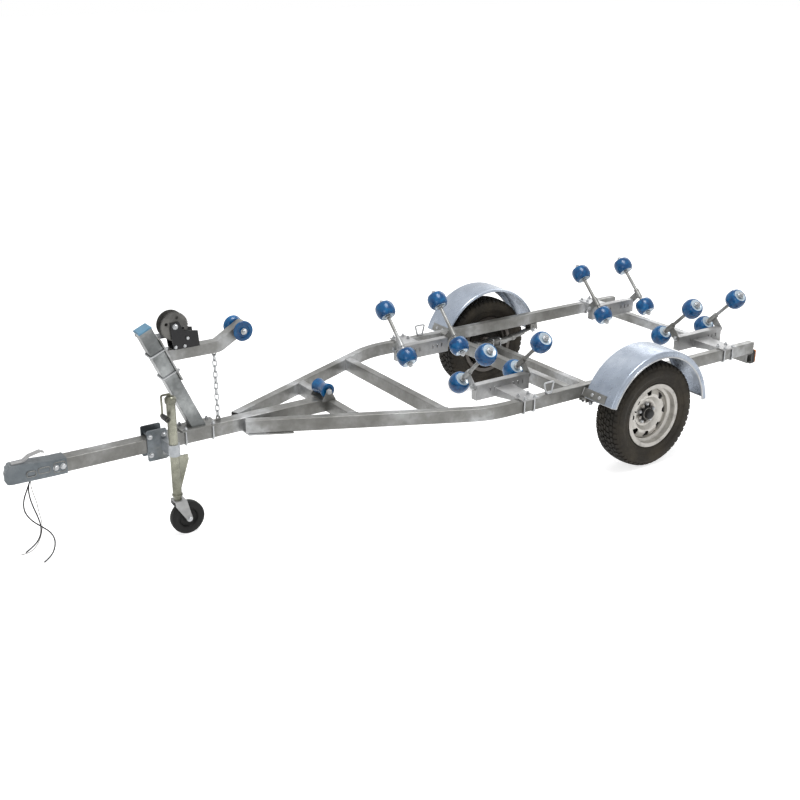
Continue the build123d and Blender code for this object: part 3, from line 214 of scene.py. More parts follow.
zincTones = {  # dull, plain and bright tone; spangles to a metre, roughness, metallic
    "steel": ("galvanisedSteel", (0.125, 0.123, 0.112), (0.25, 0.25, 0.24), (0.5, 0.51, 0.52),
              62.0, 0.32, 0.45),
    "sheet": ("galvanisedSheet", (0.27, 0.31, 0.37), (0.37, 0.42, 0.5), (0.56, 0.61, 0.68),
              40.0, 0.24, 0.5),
    # painted light: a paler copy of the galvanised steel, standing in for the light on the cradle beams and
    # brackets
    "paintedLight": ("paintedLightSteel", (0.23, 0.23, 0.23), (0.39, 0.39, 0.39), (0.58, 0.59, 0.6),
               70.0, 0.3, 0.45),
    "shaded": ("shadedSteel", (0.085, 0.092, 0.092), (0.18, 0.19, 0.19), (0.48, 0.5, 0.5),
               62.0, 0.32, 0.45),
    "passivated": ("passivatedSteel", (0.06, 0.06, 0.044), (0.135, 0.135, 0.102), (0.34, 0.34, 0.275),
                   90.0, 0.26, 0.6),
    "pressed": ("pressedSteel", (0.085, 0.1, 0.11), (0.17, 0.19, 0.205), (0.42, 0.44, 0.46),
                80.0, 0.3, 0.6),
}
finishes = {key: galvanised(*tones) for key, tones in zincTones.items()}
finishes.update({
    "zinc": plainFinish("zincPlate", (0.43, 0.44, 0.45), 0.3, 0.7),
    "weld": plainFinish("weldBead", (0.3, 0.3, 0.3), 0.45, 0.6, 0.2, 160.0),
    "rim": rimFinish("silverRim", (0.6, 0.58, 0.54), (0.06, 0.05, 0.042)),
    "tyre": tyreFinish("tyreRubber", (0.01, 0.009, 0.007), (0.017, 0.014, 0.01), (0.058, 0.048, 0.033)),
    "jockey": plainFinish("jockeyRubber", (0.009, 0.009, 0.009), 0.62, gloss=0.25),
    "blue": rollerFinish("blueRoller", (0.001, 0.044, 0.15), (0.002, 0.128, 0.33), (0.08, 0.26, 0.52)),
    "faded": plainFinish("fadedCap", (0.1, 0.24, 0.36), 0.42),
    "bush": plainFinish("paleBush", (0.5, 0.6, 0.68), 0.28, 0.25),
    "black": plainFinish("blackPaint", (0.006, 0.006, 0.007), 0.36, gloss=0.35),
    "gear": plainFinish("wornSteel", (0.115, 0.112, 0.105), 0.42, 0.6, 0.35),
    # near black, used only on the drum behind the rim's vents as painted shade
    "shadeIron": plainFinish("castIronShade", (0.02, 0.018, 0.015), 0.75, 0.0, 0.35, gloss=0.2),
    "blackCap": plainFinish("blackCap", (0.008, 0.008, 0.008), 0.45, gloss=0.3),
    "lead": plainFinish("blackLead", (0.006, 0.006, 0.007), 0.5, gloss=0.25),
    "paleLead": plainFinish("paleLead", (0.42, 0.41, 0.39), 0.5),
    "red": plainFinish("redLens", (0.3, 0.006, 0.006), 0.12, 0.0, 0.1),
    "amber": plainFinish("amberLens", (0.55, 0.15, 0.008), 0.12, 0.0, 0.1),
})
print("finishes made:", len(finishes))

# Camera
cameraView = {
    "yaw": 33.4,  # degrees from square-on to the left side, towards the nose
    "pitch": 21.0,
    "distance": 6.75,
    "target": (0.05, 0.05, 0.42),
    "lens": 1145.0,  # in pixels of an 800 pixel frame
}
cameraData = bpy.data.cameras.new("camera")
camera = bpy.data.objects.new("camera", cameraData)
bpy.context.scene.collection.objects.link(camera)
bpy.context.scene.camera = camera
yaw, pitch = math.radians(cameraView["yaw"]), math.radians(cameraView["pitch"])
sight = Vector((-math.sin(yaw) * math.cos(pitch), -math.cos(yaw) * math.cos(pitch), -math.sin(pitch)))
camera.location = Vector(cameraView["target"]) - sight * cameraView["distance"]
camera.rotation_euler = sight.to_track_quat("-Z", "Y").to_euler()
cameraData.sensor_width = 36.0
cameraData.sensor_fit = "HORIZONTAL"
cameraData.lens = 36.0 * cameraView["lens"] / 800
cameraData.clip_end = 200.0

# Wires
wires = {
    "wireLong": {
        "node": "wire_long", "finish": "lead", "radius": 0.0035, "length": 0.595,
        "points": ((3404, 12, 500), (3404, 12, 452), (3430, 14, 398), (3456, 14, 340), (3459, 15, 282),
                   (3432, 16, 228), (3389, 18, 184), (3347, 20, 144), (3326, 24, 98), (3334, 32, 50),
                   (3364, 46, 14), (3404, 64, 4.2)),
    },
    "wireShort": {
        "node": "wire_short", "finish": "lead", "radius": 0.0035, "length": 0.506,
        "points": ((3399, -6, 500), (3399, -6, 452), (3420, -7, 396), (3418, -8, 338), (3405, -9, 278),
                   (3388, -10, 220), (3378, -11, 164), (3388, -14, 110), (3420, -18, 66), (3468, -22, 38)),
    },
    "wirePale": {
        "node": "wire_pale", "finish": "paleLead", "radius": 0.002, "length": 0.563,
        "points": ((3392, -24, 500), (3392, -24, 454), (3402, -27, 400), (3393, -29, 346), (3380, -31, 292),
                   (3376, -33, 236), (3366, -36, 182), (3368, -40, 128), (3384, -46, 76), (3412, -56, 30),
                   (3446, -68, 6), (3480, -80, 2.8)),
    },
}
for name, wire in wires.items():
    route = [place(*point) for point in wire["points"]]
    curve = bpy.data.curves.new(name, "CURVE")
    curve.dimensions = "3D"
    spline = curve.splines.new("NURBS")
    spline.points.add(len(route) - 1)
    for point, spot in zip(spline.points, route):
        point.co = (*spot, 1.0)
    spline.order_u = 3
    spline.use_endpoint_u = True
    spline.resolution_u = 8
    curve.bevel_depth = wire["radius"]
    curve.bevel_resolution = 3
    curve.use_fill_caps = True
    curve.materials.append(finishes[wire["finish"]])
    piece = bpy.data.objects.new(name, curve)
    bpy.context.scene.collection.objects.link(piece)
    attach(piece, "frame")
    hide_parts(wire["node"])
print("wires hung:", len(wires))


# Mesh helpers
def addObject(name, mesh):
    piece = bpy.data.objects.new(name, mesh)
    bpy.context.scene.collection.objects.link(piece)
    return piece


def wrapUp(bm, name, finish, angle=32):  # a finished, smooth-shaded mesh that faces outwards
    bmesh.ops.remove_doubles(bm, verts=bm.verts, dist=1e-5)
    bmesh.ops.recalc_face_normals(bm, faces=bm.faces)
    mesh = bpy.data.meshes.new(name)
    bm.to_mesh(mesh)
    bm.free()
    mesh.polygons.foreach_set("use_smooth", [True] * len(mesh.polygons))
    mesh.set_sharp_from_angle(angle=math.radians(angle))
    mesh.materials.append(finishes[finish])
    return addObject(name, mesh)


def settle(piece, body, slot, *nodes):
    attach(piece, body)
    if nodes:
        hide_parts(*nodes)


def fit(bm, name, finish, body, slot, *nodes, angle=40):  # a mesh made into a piece of a body
    settle(wrapUp(bm, name, finish, angle), body, slot, *nodes)


def turns(count):  # the angles of equal steps round a full circle
    return [2 * math.pi * k / count for k in range(count)]


def axes(direction):  # two unit vectors square to a direction
    direction = Vector(direction).normalized()
    side = direction.orthogonal().normalized()
    return direction, side, direction.cross(side)


def skin(bm, rings, looped, closed=True):  # faces from each ring of points to the next
    made = [[bm.verts.new(point) for point in ring] for ring in rings]
    for ring, following in zip(made, made[1:] + (made[:1] if looped else [])):
        for k in range(len(ring) if closed else len(ring) - 1):
            n = (k + 1) % len(ring)
            bm.faces.new((ring[k], ring[n], following[n], following[k]))
    return made


def lathe(bm, profile, centre, direction, steps=48, closed=True):
    # profile: (along the axis, radius) pairs; a closed one is a ring's section
    along, side, other = axes(direction)
    rings = []
    for turn in turns(steps):
        out = side * math.cos(turn) + other * math.sin(turn)
        rings.append([centre + (along * a + out * r) / 1000 for a, r in profile])
    skin(bm, rings, True, closed)


def turned(profile, centre, direction, steps=48, closed=True):
    bm = bmesh.new()
    lathe(bm, profile, centre, direction, steps, closed)
    return bm


def latheBoth(bm, profile, start, centre, direction, steps):  # two rings, from start outwards
    for way in (1, -1):
        lathe(bm, [(way * (start + a), r) for a, r in profile], centre, direction, steps)


def mirrored(half):  # a section from its half: (out from the middle plane, radius)
    return [(-a, r) for a, r in half] + [*half[::-1]]


def capped(bm, rings):  # a skin with both ends closed
    made = skin(bm, rings, False)
    bm.faces.new(made[0])
    bm.faces.new(made[-1])


def rounded(points, bend, steps=6):  # a path with its corners turned into arcs
    path = [Vector(points[0])]
    for before, here, after in zip(points, points[1:], points[2:]):
        before, here, after = Vector(before), Vector(here), Vector(after)
        back, on = (before - here).normalized(), (after - here).normalized()
        reach = min(bend / 1000 / math.tan(back.angle(on) / 2), 0.49 * (before - here).length,
                    0.49 * (after - here).length)
        start, end = here + back * reach, here + on * reach
        for k in range(steps + 1):
            t = k / steps
            path.append(start * (1 - t) ** 2 + here * 2 * t * (1 - t) + end * t**2)
    path.append(Vector(points[-1]))
    return path


def rod(bm, points, radius, sides=12):  # a round bar along a path, closed at its ends
    ways = [(b - a).normalized() for a, b in zip(points, points[1:])]
    ways = [ways[0], *[(a + b).normalized() for a, b in zip(ways, ways[1:])], ways[-1]]
    side = ways[0].orthogonal().normalized()
    rings = []
    for point, way in zip(points, ways):
        side = (side - way * side.dot(way)).normalized()
        other = way.cross(side)
        rings.append([point + (side * math.cos(a) + other * math.sin(a)) * radius / 1000
                      for a in turns(sides)])
    capped(bm, rings)


def slab(bm, centre, across, up, width, height, depth, corner, edge):
    # a round-cornered plate whose rims are eased; its depth runs along across x up
    across, up = Vector(across).normalized(), Vector(up).normalized()
    through = across.cross(up)
    outline = []
    for k in range(20):
        quarter, part = divmod(k, 5)
        angle = math.pi / 2 * (quarter + part / 4)
        outline.append(((width / 2 - corner) * (1 if quarter in (0, 3) else -1),
                        (height / 2 - corner) * (1 if quarter in (0, 1) else -1),
                        math.cos(angle), math.sin(angle)))
    rings, half = [], depth / 2
    for level, inset in ((-half, edge), (edge - half, 0), (half - edge, 0), (half, edge)):
        reach = corner - inset
        rings.append([centre + (across * (cx + dx * reach) + up * (cy + dy * reach) + through * level) / 1000
                      for cx, cy, dx, dy in outline])
    capped(bm, rings)


def hoop(bm, middle, out, legs, back, bend, steps, radius):  # a U of round bar
    corners = [out + legs, out + back, back - out, legs - out]
    rod(bm, rounded([middle + corner / 1000 for corner in corners], bend, steps), radius, 12)


# Geometry Nodes
class Grower(Tree):  # builds one geometry tree and runs it into a plain mesh
    def __init__(self, name, inputs=()):
        self.name = name
        self.tree = bpy.data.node_groups.new(name, "GeometryNodeTree")
        self.tree.interface.new_socket(name="Geometry", in_out="INPUT", socket_type="NodeSocketGeometry")
        self.values = {}
        for label, kind, value in inputs:
            socket = self.tree.interface.new_socket(name=label, in_out="INPUT", socket_type=kind)
            self.values[socket.identifier] = value
        self.tree.interface.new_socket(name="Geometry", in_out="OUTPUT", socket_type="NodeSocketGeometry")
        self.source = self.tree.nodes.new("NodeGroupInput")
        self.sink = self.tree.nodes.new("NodeGroupOutput")

    def get(self, label):
        return self.source.outputs[label]

    def run(self, geometry, mesh, finish, angle=32):
        real = self.add("GeometryNodeRealizeInstances", {}, {0: geometry})
        inputs = {"Geometry": real.outputs[0], "Material": finishes[finish]}
        paint = self.add("GeometryNodeSetMaterial", {}, inputs)
        self.tree.links.new(paint.outputs[0], self.sink.inputs[0])
        holder = addObject(self.name + "Holder", mesh)
        grow = holder.modifiers.new("grow", "NODES")
        grow.node_group = self.tree
        for identifier, value in self.values.items():
            grow[identifier] = value
        grown = bpy.data.meshes.new_from_object(holder.evaluated_get(bpy.context.evaluated_depsgraph_get()))
        holder.modifiers.remove(grow)
        bpy.data.objects.remove(holder)
        grown.name = self.name
        grown.polygons.foreach_set("use_smooth", [True] * len(grown.polygons))
        grown.set_sharp_from_angle(angle=math.radians(angle))
        return addObject(self.name, grown)


def fasten(name, unit, places, body):
    # places: (seat, direction, size) of each copy of a nut or a head that stands along +Z
    mesh = bpy.data.meshes.new(name + "Points")
    mesh.from_pydata([tuple(point) for point, way, size in places], [], [])
    ways = mesh.attributes.new("way", "FLOAT_VECTOR", "POINT")
    ways.data.foreach_set("vector", [c for point, way, size in places for c in Vector(way).normalized()])
    sizes = mesh.attributes.new("size", "FLOAT", "POINT")
    sizes.data.foreach_set("value", [size / 1000 for point, way, size in places])
    g = Grower(name, [("Unit", "NodeSocketObject", unit), ("Scale", "NodeSocketFloat", 1.0)])
    shape = g.add("GeometryNodeObjectInfo", {}, {"Object": g.get("Unit")})
    way = g.add("GeometryNodeInputNamedAttribute", {"data_type": "FLOAT_VECTOR"}, {"Name": "way"})
    size = g.add("GeometryNodeInputNamedAttribute", {"data_type": "FLOAT"}, {"Name": "size"})
    turn = g.add("FunctionNodeAlignRotationToVector", {"axis": "Z"}, {"Vector": way.outputs[0]})
    scale = g.add("ShaderNodeMath", {"operation": "MULTIPLY"}, {0: size.outputs[0], 1: g.get("Scale")})
    copies = g.add("GeometryNodeInstanceOnPoints", {}, {
        "Points": g.get("Geometry"), "Instance": shape.outputs["Geometry"],
        "Rotation": turn.outputs[0], "Scale": scale.outputs[0]})
    settle(g.run(copies.outputs[0], mesh, "zinc"), body, "zinc_plate")


def bothSides(x, side, z, size, middle=0):  # places of a nut on each side
    return [(place(x, middle + way * side, z), (0, way, 0), size) for way in (1, -1)]


def turnedCopies(name, unit, count, start, step, axis, turn, finish, angle=32):
    # copies of a unit shape, each moved by a step and turned about an axis from the last
    g = Grower(name, [("Unit", "NodeSocketObject", unit), ("Count", "NodeSocketInt", count),
                      ("Start", "NodeSocketVector", start), ("Step", "NodeSocketVector", step),
                      ("Axis", "NodeSocketVector", axis), ("Turn", "NodeSocketFloat", turn)])
    shape = g.add("GeometryNodeObjectInfo", {}, {"Object": g.get("Unit")})
    index = g.add("GeometryNodeInputIndex")
    along = g.add("ShaderNodeVectorMath", {"operation": "SCALE"},
                  {"Vector": g.get("Step"), "Scale": index.outputs[0]})
    place = g.add("ShaderNodeVectorMath", {"operation": "ADD"}, {0: along.outputs[0], 1: g.get("Start")})
    points = g.add("GeometryNodePoints", {}, {"Count": g.get("Count"), "Position": place.outputs[0]})
    amount = g.add("ShaderNodeMath", {"operation": "MULTIPLY"}, {0: index.outputs[0], 1: g.get("Turn")})
    spin = g.add("FunctionNodeAxisAngleToRotation", {}, {"Axis": g.get("Axis"), "Angle": amount.outputs[0]})
    copies = g.add("GeometryNodeInstanceOnPoints", {}, {
        "Points": points.outputs[0], "Instance": shape.outputs["Geometry"], "Rotation": spin.outputs[0]})
    return g.run(copies.outputs[0], bpy.data.meshes.new(name + "Points"), finish, angle)


def beadRun(name, runs, size, spacing, finish):
    # weld beads along straight runs, each a (start, end) pair
    mesh = bpy.data.meshes.new(name + "Runs")
    mesh.from_pydata([tuple(p) for pair in runs for p in pair],
                     [(2 * k, 2 * k + 1) for k in range(len(runs))], [])
    g = Grower(name, [("Bead size", "NodeSocketFloat", size / 1000),
                      ("Bead spacing", "NodeSocketFloat", spacing / 1000)])
    line = g.add("GeometryNodeMeshToCurve", {}, {"Mesh": g.get("Geometry")})
    spots = g.add("GeometryNodeResampleCurve", {"mode": "LENGTH"},
                  {"Curve": line.outputs[0], "Length": g.get("Bead spacing")})
    bead = g.add("GeometryNodeMeshIcoSphere", {}, {"Radius": g.get("Bead size"), "Subdivisions": 2})
    copies = g.add("GeometryNodeInstanceOnPoints", {},
                   {"Points": spots.outputs[0], "Instance": bead.outputs[0]})
    return g.run(copies.outputs[0], mesh, finish, 80)


# Nuts and heads of size 1, each standing on its seat
def circle(radius, level, count):
    return [Vector((radius * math.cos(t), radius * math.sin(t), level)) for t in turns(count)]


def stacked(name, *parts):  # each part: its corners, and the (radius, level) of its rings
    bm = bmesh.new()
    for corners, levels in parts:
        capped(bm, [circle(radius, level, corners) for radius, level in levels])
    return wrapUp(bm, name, "zinc")


nutUnit = stacked("nutUnit", (18, ((1.22, 0.0), (1.25, 0.03), (1.25, 0.11), (1.22, 0.14))),
                  (6, ((0.93, 0.14), (1.0, 0.2), (1.0, 0.82), (0.9, 0.92))),
                  (12, ((0.5, 0.9), (0.5, 1.22), (0.42, 1.3))))
headUnit = stacked("headUnit", (18, ((1.28, 0.0), (1.3, 0.03), (1.3, 0.1), (1.26, 0.14))),
                   (6, ((1.0, 0.14), (1.0, 0.62), (0.88, 0.74))))
lugUnit = stacked("lugUnit", (6, ((1.0, 0.0), (1.0, 1.0), (0.86, 1.18))),
                  (18, ((0.82, 1.1), (0.74, 1.4), (0.5, 1.62), (0.2, 1.7))))
sides = (("left", 1), ("right", -1))

# Rollers
cradles = {  # all shapes from here on are in millimetres
    "places": (("front", 780), ("rear", -855)),
    "pairSpacing": 200,
    "pivot": (410, 560),
    "pinReach": 205,  # from the cradle's middle to a pivot pin's outer end
    "upper": (520, 785),
    "lower": (275, 545),
    "rollerHalf": 46,
    "rollerRadius": 62,
    "rollerEnd": 48,
    "crownSteps": 16,
    "crownPower": 2.5,
    "dish": ((10, 11.5), (10, 33), (1, 39.5), (0, 40.5)),  # in from the end, radius
    "ease": ((0, -3.5), (0.8, -1.2), (2.6, 0.8)),  # in from the end, past the end's radius
    "bush": (  # out from the roller's end, radius
        (-11, 11.8), (-5.2, 11.8), (-5.2, 24), (-2, 32.5), (0.4, 36.2), (0.7, 38.2), (0.4, 40),
        (-1.2, 40.6), (-11, 35)),
    "washerGap": 1.6,
    "washer": ((0, 11.2), (0, 19.6), (0.8, 20.4), (6.8, 20.4), (7.6, 19.6), (7.6, 11.2)),
    "nutReach": 55.4,  # from a roller's middle to its nut's seat
    "rodNut": 14.5,
    "pivotNut": 13.5,
}


def rollerSection(half, rim, middle):  # both ends share a rim: (in from the end, radius)
    return [(a - half, r) for a, r in rim] + middle + [(half - a, r) for a, r in rim[::-1]]


def cradleSection():
    half, end, steps = cradles["rollerHalf"], cradles["rollerEnd"], cradles["crownSteps"]
    swell = cradles["rollerRadius"] - end
    crown = [(half * t, end + swell * (1 - abs(t) ** cradles["crownPower"]))
             for t in [2 * k / steps - 1 for k in range(2, steps - 1)]]
    return rollerSection(half, [*cradles["dish"], *[(a, end + r) for a, r in cradles["ease"]]], crown)


pivotNuts = []
for cradle, spot in cradles["places"]:
    for sideName, side in sides:
        for endName, end in (("front", 1), ("rear", -1)):
            key = f"{cradle}_{sideName}_{endName}"
            x = spot + end * cradles["pairSpacing"]
            low = place(x, side * cradles["lower"][0], cradles["lower"][1])
            high = place(x, side * cradles["upper"][0], cradles["upper"][1])
            slope = (high - low).normalized()
            blue, bush, washers = bmesh.new(), bmesh.new(), bmesh.new()
            seat = cradles["rollerHalf"] + cradles["washerGap"]
            for centre in (low, high):
                lathe(blue, cradleSection(), centre, slope, 56)
                latheBoth(bush, cradles["bush"], cradles["rollerHalf"], centre, slope, 40)
                latheBoth(washers, cradles["washer"], seat, centre, slope, 36)
            rollers, arm = "rollers_" + key, "cradle_arm_" + key
            fit(blue, "blueRollers_" + key, "blue", rollers, "blue_roller", rollers)
            fit(bush, "rollerBushes_" + key, "bush", rollers, "zinc_plate")
            fit(washers, "rodWashers_" + key, "zinc", arm, "zinc_plate", angle=32)
            reach = slope * cradles["nutReach"] / 1000
            ends = [(high + reach, slope, cradles["rodNut"]), (low - reach, -slope, cradles["rodNut"])]
            fasten("rodNuts_" + key, nutUnit, ends, arm)
            pin = place(spot + end * cradles["pinReach"], side * cradles["pivot"][0], cradles["pivot"][1])
            pivotNuts.append((pin, (end, 0, 0), cradles["pivotNut"]))
print("rollers made")

keelRoller = {
    "x": 1735, "z": 580, "half": 59, "end": 43, "waist": 34,
    "waistSteps": 8, "waistStretch": 1.14, "waistPower": 1.5,
    "rim": ((8, 8.6), (8, 24), (0, 27), (0, 39), (3, 42.5)),
    "nutSide": 70.4, "nut": 14,
}
flare, steps = keelRoller["end"] - keelRoller["waist"], keelRoller["waistSteps"]
waist = []
for t in [k / steps - 1 for k in range(2, 2 * steps - 1)]:
    share = min(1, abs(t) * keelRoller["waistStretch"]) ** keelRoller["waistPower"]
    waist.append((keelRoller["half"] * t, keelRoller["waist"] + flare * share))
bm = turned(rollerSection(keelRoller["half"], keelRoller["rim"], waist),
            place(keelRoller["x"], 0, keelRoller["z"]), (0, 1, 0), 56)
fit(bm, "keelRollerBlue", "blue", "keel_roller", "blue_roller", "keel_roller")

bowRoller = {
    "x": 2240, "z": 1022, "inside": 35,
    "disc": (  # out from the disc's inner face, radius
        (0, 8.6), (0, 40), (2, 43), (18, 51.8), (24.5, 54.5), (28, 54.9), (31, 54), (33.2, 51.5),
        (34, 48.5), (34, 37), (33, 34.5), (29, 32.5), (28.5, 20), (33, 18.5), (33, 8.6)),
    "nutSide": 71.5, "nut": 14,
}
bm = bmesh.new()
latheBoth(bm, bowRoller["disc"], bowRoller["inside"], place(bowRoller["x"], 0, bowRoller["z"]), (0, 1, 0), 64)
fit(bm, "bowRollerBlue", "blue", "bow_roller", "blue_roller", "bow_roller")
print("keel and bow rollers made")

# Wheels
tyre = {
    "wall": (  # along the axle from the middle plane, radius
        (0, 317.8), (20, 317.2), (42, 315), (60, 311.8), (70.5, 308.2), (77.5, 303), (83, 296.5),
        (87.2, 289.5), (88.8, 285), (90.2, 284.6), (90.8, 283), (91.2, 274), (92, 264), (92.1, 256),
        (91, 247), (89.5, 244), (88.4, 243.2), (86.8, 234), (84.8, 225), (83.8, 220), (84.6, 217),
        (84, 213), (80.8, 208), (78, 201), (75.7, 198.5), (75.7, 178.2), (59, 178.2), (64, 200), (80, 260),
        (64, 300)),
    "pitches": 52,
    "blocks": (  # along the axle from, to; share of the pitch from, to; lean of the block's sides
        (3, 19, 0.04, 0.8, 0.1), (22.5, 43, 0.3, 1.1, 0.1), (46.5, 65.5, 0.04, 0.82, 0.08),
        (68.5, 84, 0.32, 1.04, 0.02)),
    "depth": 7.5,
    "crown": 324.9,
    "crownDrop": 8.5,
    "shoulder": (70.5, 316.4),  # where the crown turns into the shoulder, and its radius there
    "shoulderFall": 0.98,
}
hub = {
    "cap": (
        (12.5, 0), (12.5, 45.2), (18, 46.2), (33, 39.8), (35.2, 37.8), (35.6, 33), (37.2, 31.6), (53, 29.6),
        (57.5, 27.8), (60.3, 22.5), (61.2, 12), (61.4, 0)),
    # a near-black backing behind the rim's vents, in the shape of a brake drum; its darkness is painted shade
    "drum": (
        (-26, 47), (-26, 145.5), (-28.5, 149), (-70, 149), (-71.5, 147.5), (-71.5, 142), (-70, 140.5),
        (-36, 140.5), (-33, 137.5), (-33, 47)),
    "nuts": 5, "nutCircle": 57.15, "nutSeat": 14.2, "nut": 11.8,
    "valve": (
        (0, 0), (0, 8.5), (6, 7.8), (10, 4.2), (24, 3.8), (24.5, 4.8), (34, 4.8), (35.5, 3.6), (35.8, 0)),
    "valveRadius": 161, "valveTurn": 0.35, "valveSide": 46, "valveLean": (-0.25, -0.1),
}


def onWheel(side, a, r, t):  # a point at a place along the axle, a radius and an angle
    middle = place(0, side * wheel["side"], wheel["height"])
    return middle + Vector((r * math.cos(t), side * a, r * math.sin(t))) / 1000


def treadRadius(a):  # how far out the tread's face stands
    edge, radius = tyre["shoulder"]
    if a <= edge:
        return tyre["crown"] - tyre["crownDrop"] * (a / edge) ** 2
    return radius - (a - edge) * tyre["shoulderFall"]


def treadUnit(name):
    bm = bmesh.new()
    pitch = 2 * math.pi / tyre["pitches"]
    for mirror in (1, -1):
        for near, far, start, stop, lean in tyre["blocks"]:
            if mirror < 0:
                start, stop = start + 0.5, stop + 0.5
            rings = []
            for drop, inset in ((tyre["depth"], 0), (0.6, 0.6), (0, 1.3)):
                ring = []
                for a, edge in ((near + inset, 0), (far - inset, 1)):
                    span = [start + lean * edge * mirror, stop + lean * edge * mirror]
                    slip = inset / treadRadius(a) / pitch
                    shares = [span[0] + slip, (span[0] + span[1]) / 2, span[1] - slip]
                    for share in shares if edge == 0 else shares[::-1]:
                        r, t = treadRadius(a) - drop, share * pitch
                        ring.append(Vector((r * math.sin(t), mirror * a, r * math.cos(t))) / 1000)
                rings.append(ring)
            capped(bm, rings)
    return wrapUp(bm, name, "tyre")


tread = treadUnit("treadUnit")
for sideName, side in sides:
    body, centre, out = "wheel_" + sideName, onWheel(side, 0, 0, 0), (0, side, 0)
    bm = turned([*tyre["wall"], *[(-a, r) for a, r in tyre["wall"][:0:-1]]], centre, out, 96)
    fit(bm, "tyreBody_" + sideName, "tyre", body, "tyre_rubber", "tyre_" + sideName, angle=50)
    settle(turnedCopies("tyreTread_" + sideName, tread, tyre["pitches"], centre, (0, 0, 0), (0, 1, 0),
                        2 * math.pi / tyre["pitches"], "tyre"), body, "tyre_rubber")
    bm = turned(hub["cap"], centre, out, 48, False)
    fit(bm, "hubCap_" + sideName, "blackCap", body, "black_steel")
    # painted shade: a near-black drum fills the view through the vents
    bm = turned(hub["drum"], centre, out, 56)
    fit(bm, "hubDrum_" + sideName, "shadeIron", body, "black_steel")
    lugs = [(onWheel(side, hub["nutSeat"], hub["nutCircle"], math.pi / 2 - a), out, hub["nut"])
            for a in turns(hub["nuts"])]
    fasten("wheelNuts_" + sideName, lugUnit, lugs, body)
    spot = onWheel(side, hub["valveSide"], hub["valveRadius"], hub["valveTurn"])
    bm = turned(hub["valve"], spot, (hub["valveLean"][0], side, hub["valveLean"][1]), 20, False)
    fit(bm, "valve_" + sideName, "blackCap", body, "black_rubber", angle=32)
print("tyres made")

# Mudguards
guard = {
    "radius": 402, "half": 116, "lip": 34, "skin": 2.5, "corner": 13,
    "from": 20, "to": 174, "steps": 72,  # degrees of its arc
    "edge": 5.2,  # the rolled outer edge's radius
    "hem": 3, "hemBend": 12, "hemReturn": 14,
}


def guardSection():  # the skin's outline: (along the axle from the middle plane, radius)
    outer, half, corner = guard["radius"] + guard["skin"], guard["half"] + guard["skin"], guard["corner"]
    line = [(-half, outer - guard["lip"] / 2)]
    for middle, start in ((corner - half, 180), (half - corner, 90)):
        line += [(middle + corner * math.cos(math.radians(start - 15 * k)),
                  outer - corner + corner * math.sin(math.radians(start - 15 * k))) for k in range(7)]
    line += [(half, outer - guard["lip"] - guard["skin"])]
    inside = []
    for k, (a, r) in enumerate(line):
        before, after = line[max(k - 1, 0)], line[min(k + 1, len(line) - 1)]
        da, dr = after[0] - before[0], after[1] - before[1]
        size = math.hypot(da, dr)
        inside.append((a + dr / size * guard["skin"], r - da / size * guard["skin"]))
    return line + inside[::-1]


angles = [math.radians(guard["from"] + (guard["to"] - guard["from"]) * k / guard["steps"])
          for k in range(guard["steps"] + 1)]
for sideName, side in sides:
    bm = bmesh.new()
    capped(bm, [[onWheel(side, a, r, t) for a, r in guardSection()] for t in angles])
    fit(bm, "mudguardSkin_" + sideName, "sheet", "frame", "galvanised_sheet", "mudguard_" + sideName)
    bm = bmesh.new()
    half, lipRadius, inside = guard["half"], guard["radius"] - guard["lip"] + 1, guard["radius"] - 1
    rod(bm, [onWheel(side, half + guard["skin"] / 2, lipRadius, t) for t in angles], guard["edge"], 12)
    for t in (angles[0], angles[-1]):
        corners = ((half + 1, lipRadius), (half + 1, inside), (-half, inside),
                   (-half, inside - guard["hemReturn"]))
        rod(bm, rounded([onWheel(side, a, r, t) for a, r in corners], guard["hemBend"]), guard["hem"], 10)
    fit(bm, "mudguardEdge_" + sideName, "zinc", "frame", "galvanised_sheet")
print("mudguards made")

# U-bolts and their nuts
tube = {"middle": 487.5, "half": 37.5}  # the height of the tubes' middle; half the drawbar's width
rail = {"side": 646, "half": 25, "bend": 1035, "tip": 2255, "frontSide": 62.5}
post = {"foot": (2512, 0, 535), "lean": math.radians(24), "armHeight": 950}
uBolt = {
    "rod": 5, "gap": 5.3, "bend": 12, "nut": 9.8, "nutGap": 0.4,
    "post": ((-78, 78), 26, 10), "arm": ((46, -92), 22, 8),  # places along, length of the legs, plate
    "cradle": ((-36, 36), 26, 8),
}


def spoke(t):  # a unit vector square to the axle
    return Vector((math.cos(t), 0, math.sin(t)))


upward = spoke(math.pi / 2)
postWay, postBack = spoke(math.pi / 2 - post["lean"]), spoke(math.pi - post["lean"])
armUp = post["armHeight"] - post["foot"][2] - tube["half"] * math.sin(post["lean"])
armUp = armUp / math.cos(post["lean"])  # along the post
bolts = []  # (the tube's middle, way of the legs, the tube's half width, length of the legs, plate)
for shift in uBolt["post"][0]:
    middle = place(post["foot"][0] + shift, 0, tube["middle"])
    bolts.append((middle, upward, tube["half"], *uBolt["post"][1:]))
for shift in uBolt["arm"][0]:
    middle = place(*post["foot"]) + postWay * (armUp + shift) / 1000
    bolts.append((middle, postBack, tube["half"], *uBolt["arm"][1:]))
for cradle, spot in cradles["places"]:
    for side in (1, -1):
        for shift in uBolt["cradle"][0]:
            middle = place(spot + shift, side * rail["side"], tube["middle"])
            bolts.append((middle, upward, rail["half"], *uBolt["cradle"][1:]))
nuts, heads = list(pivotNuts), []  # (seat, direction, size) of each on the frame
bm = bmesh.new()
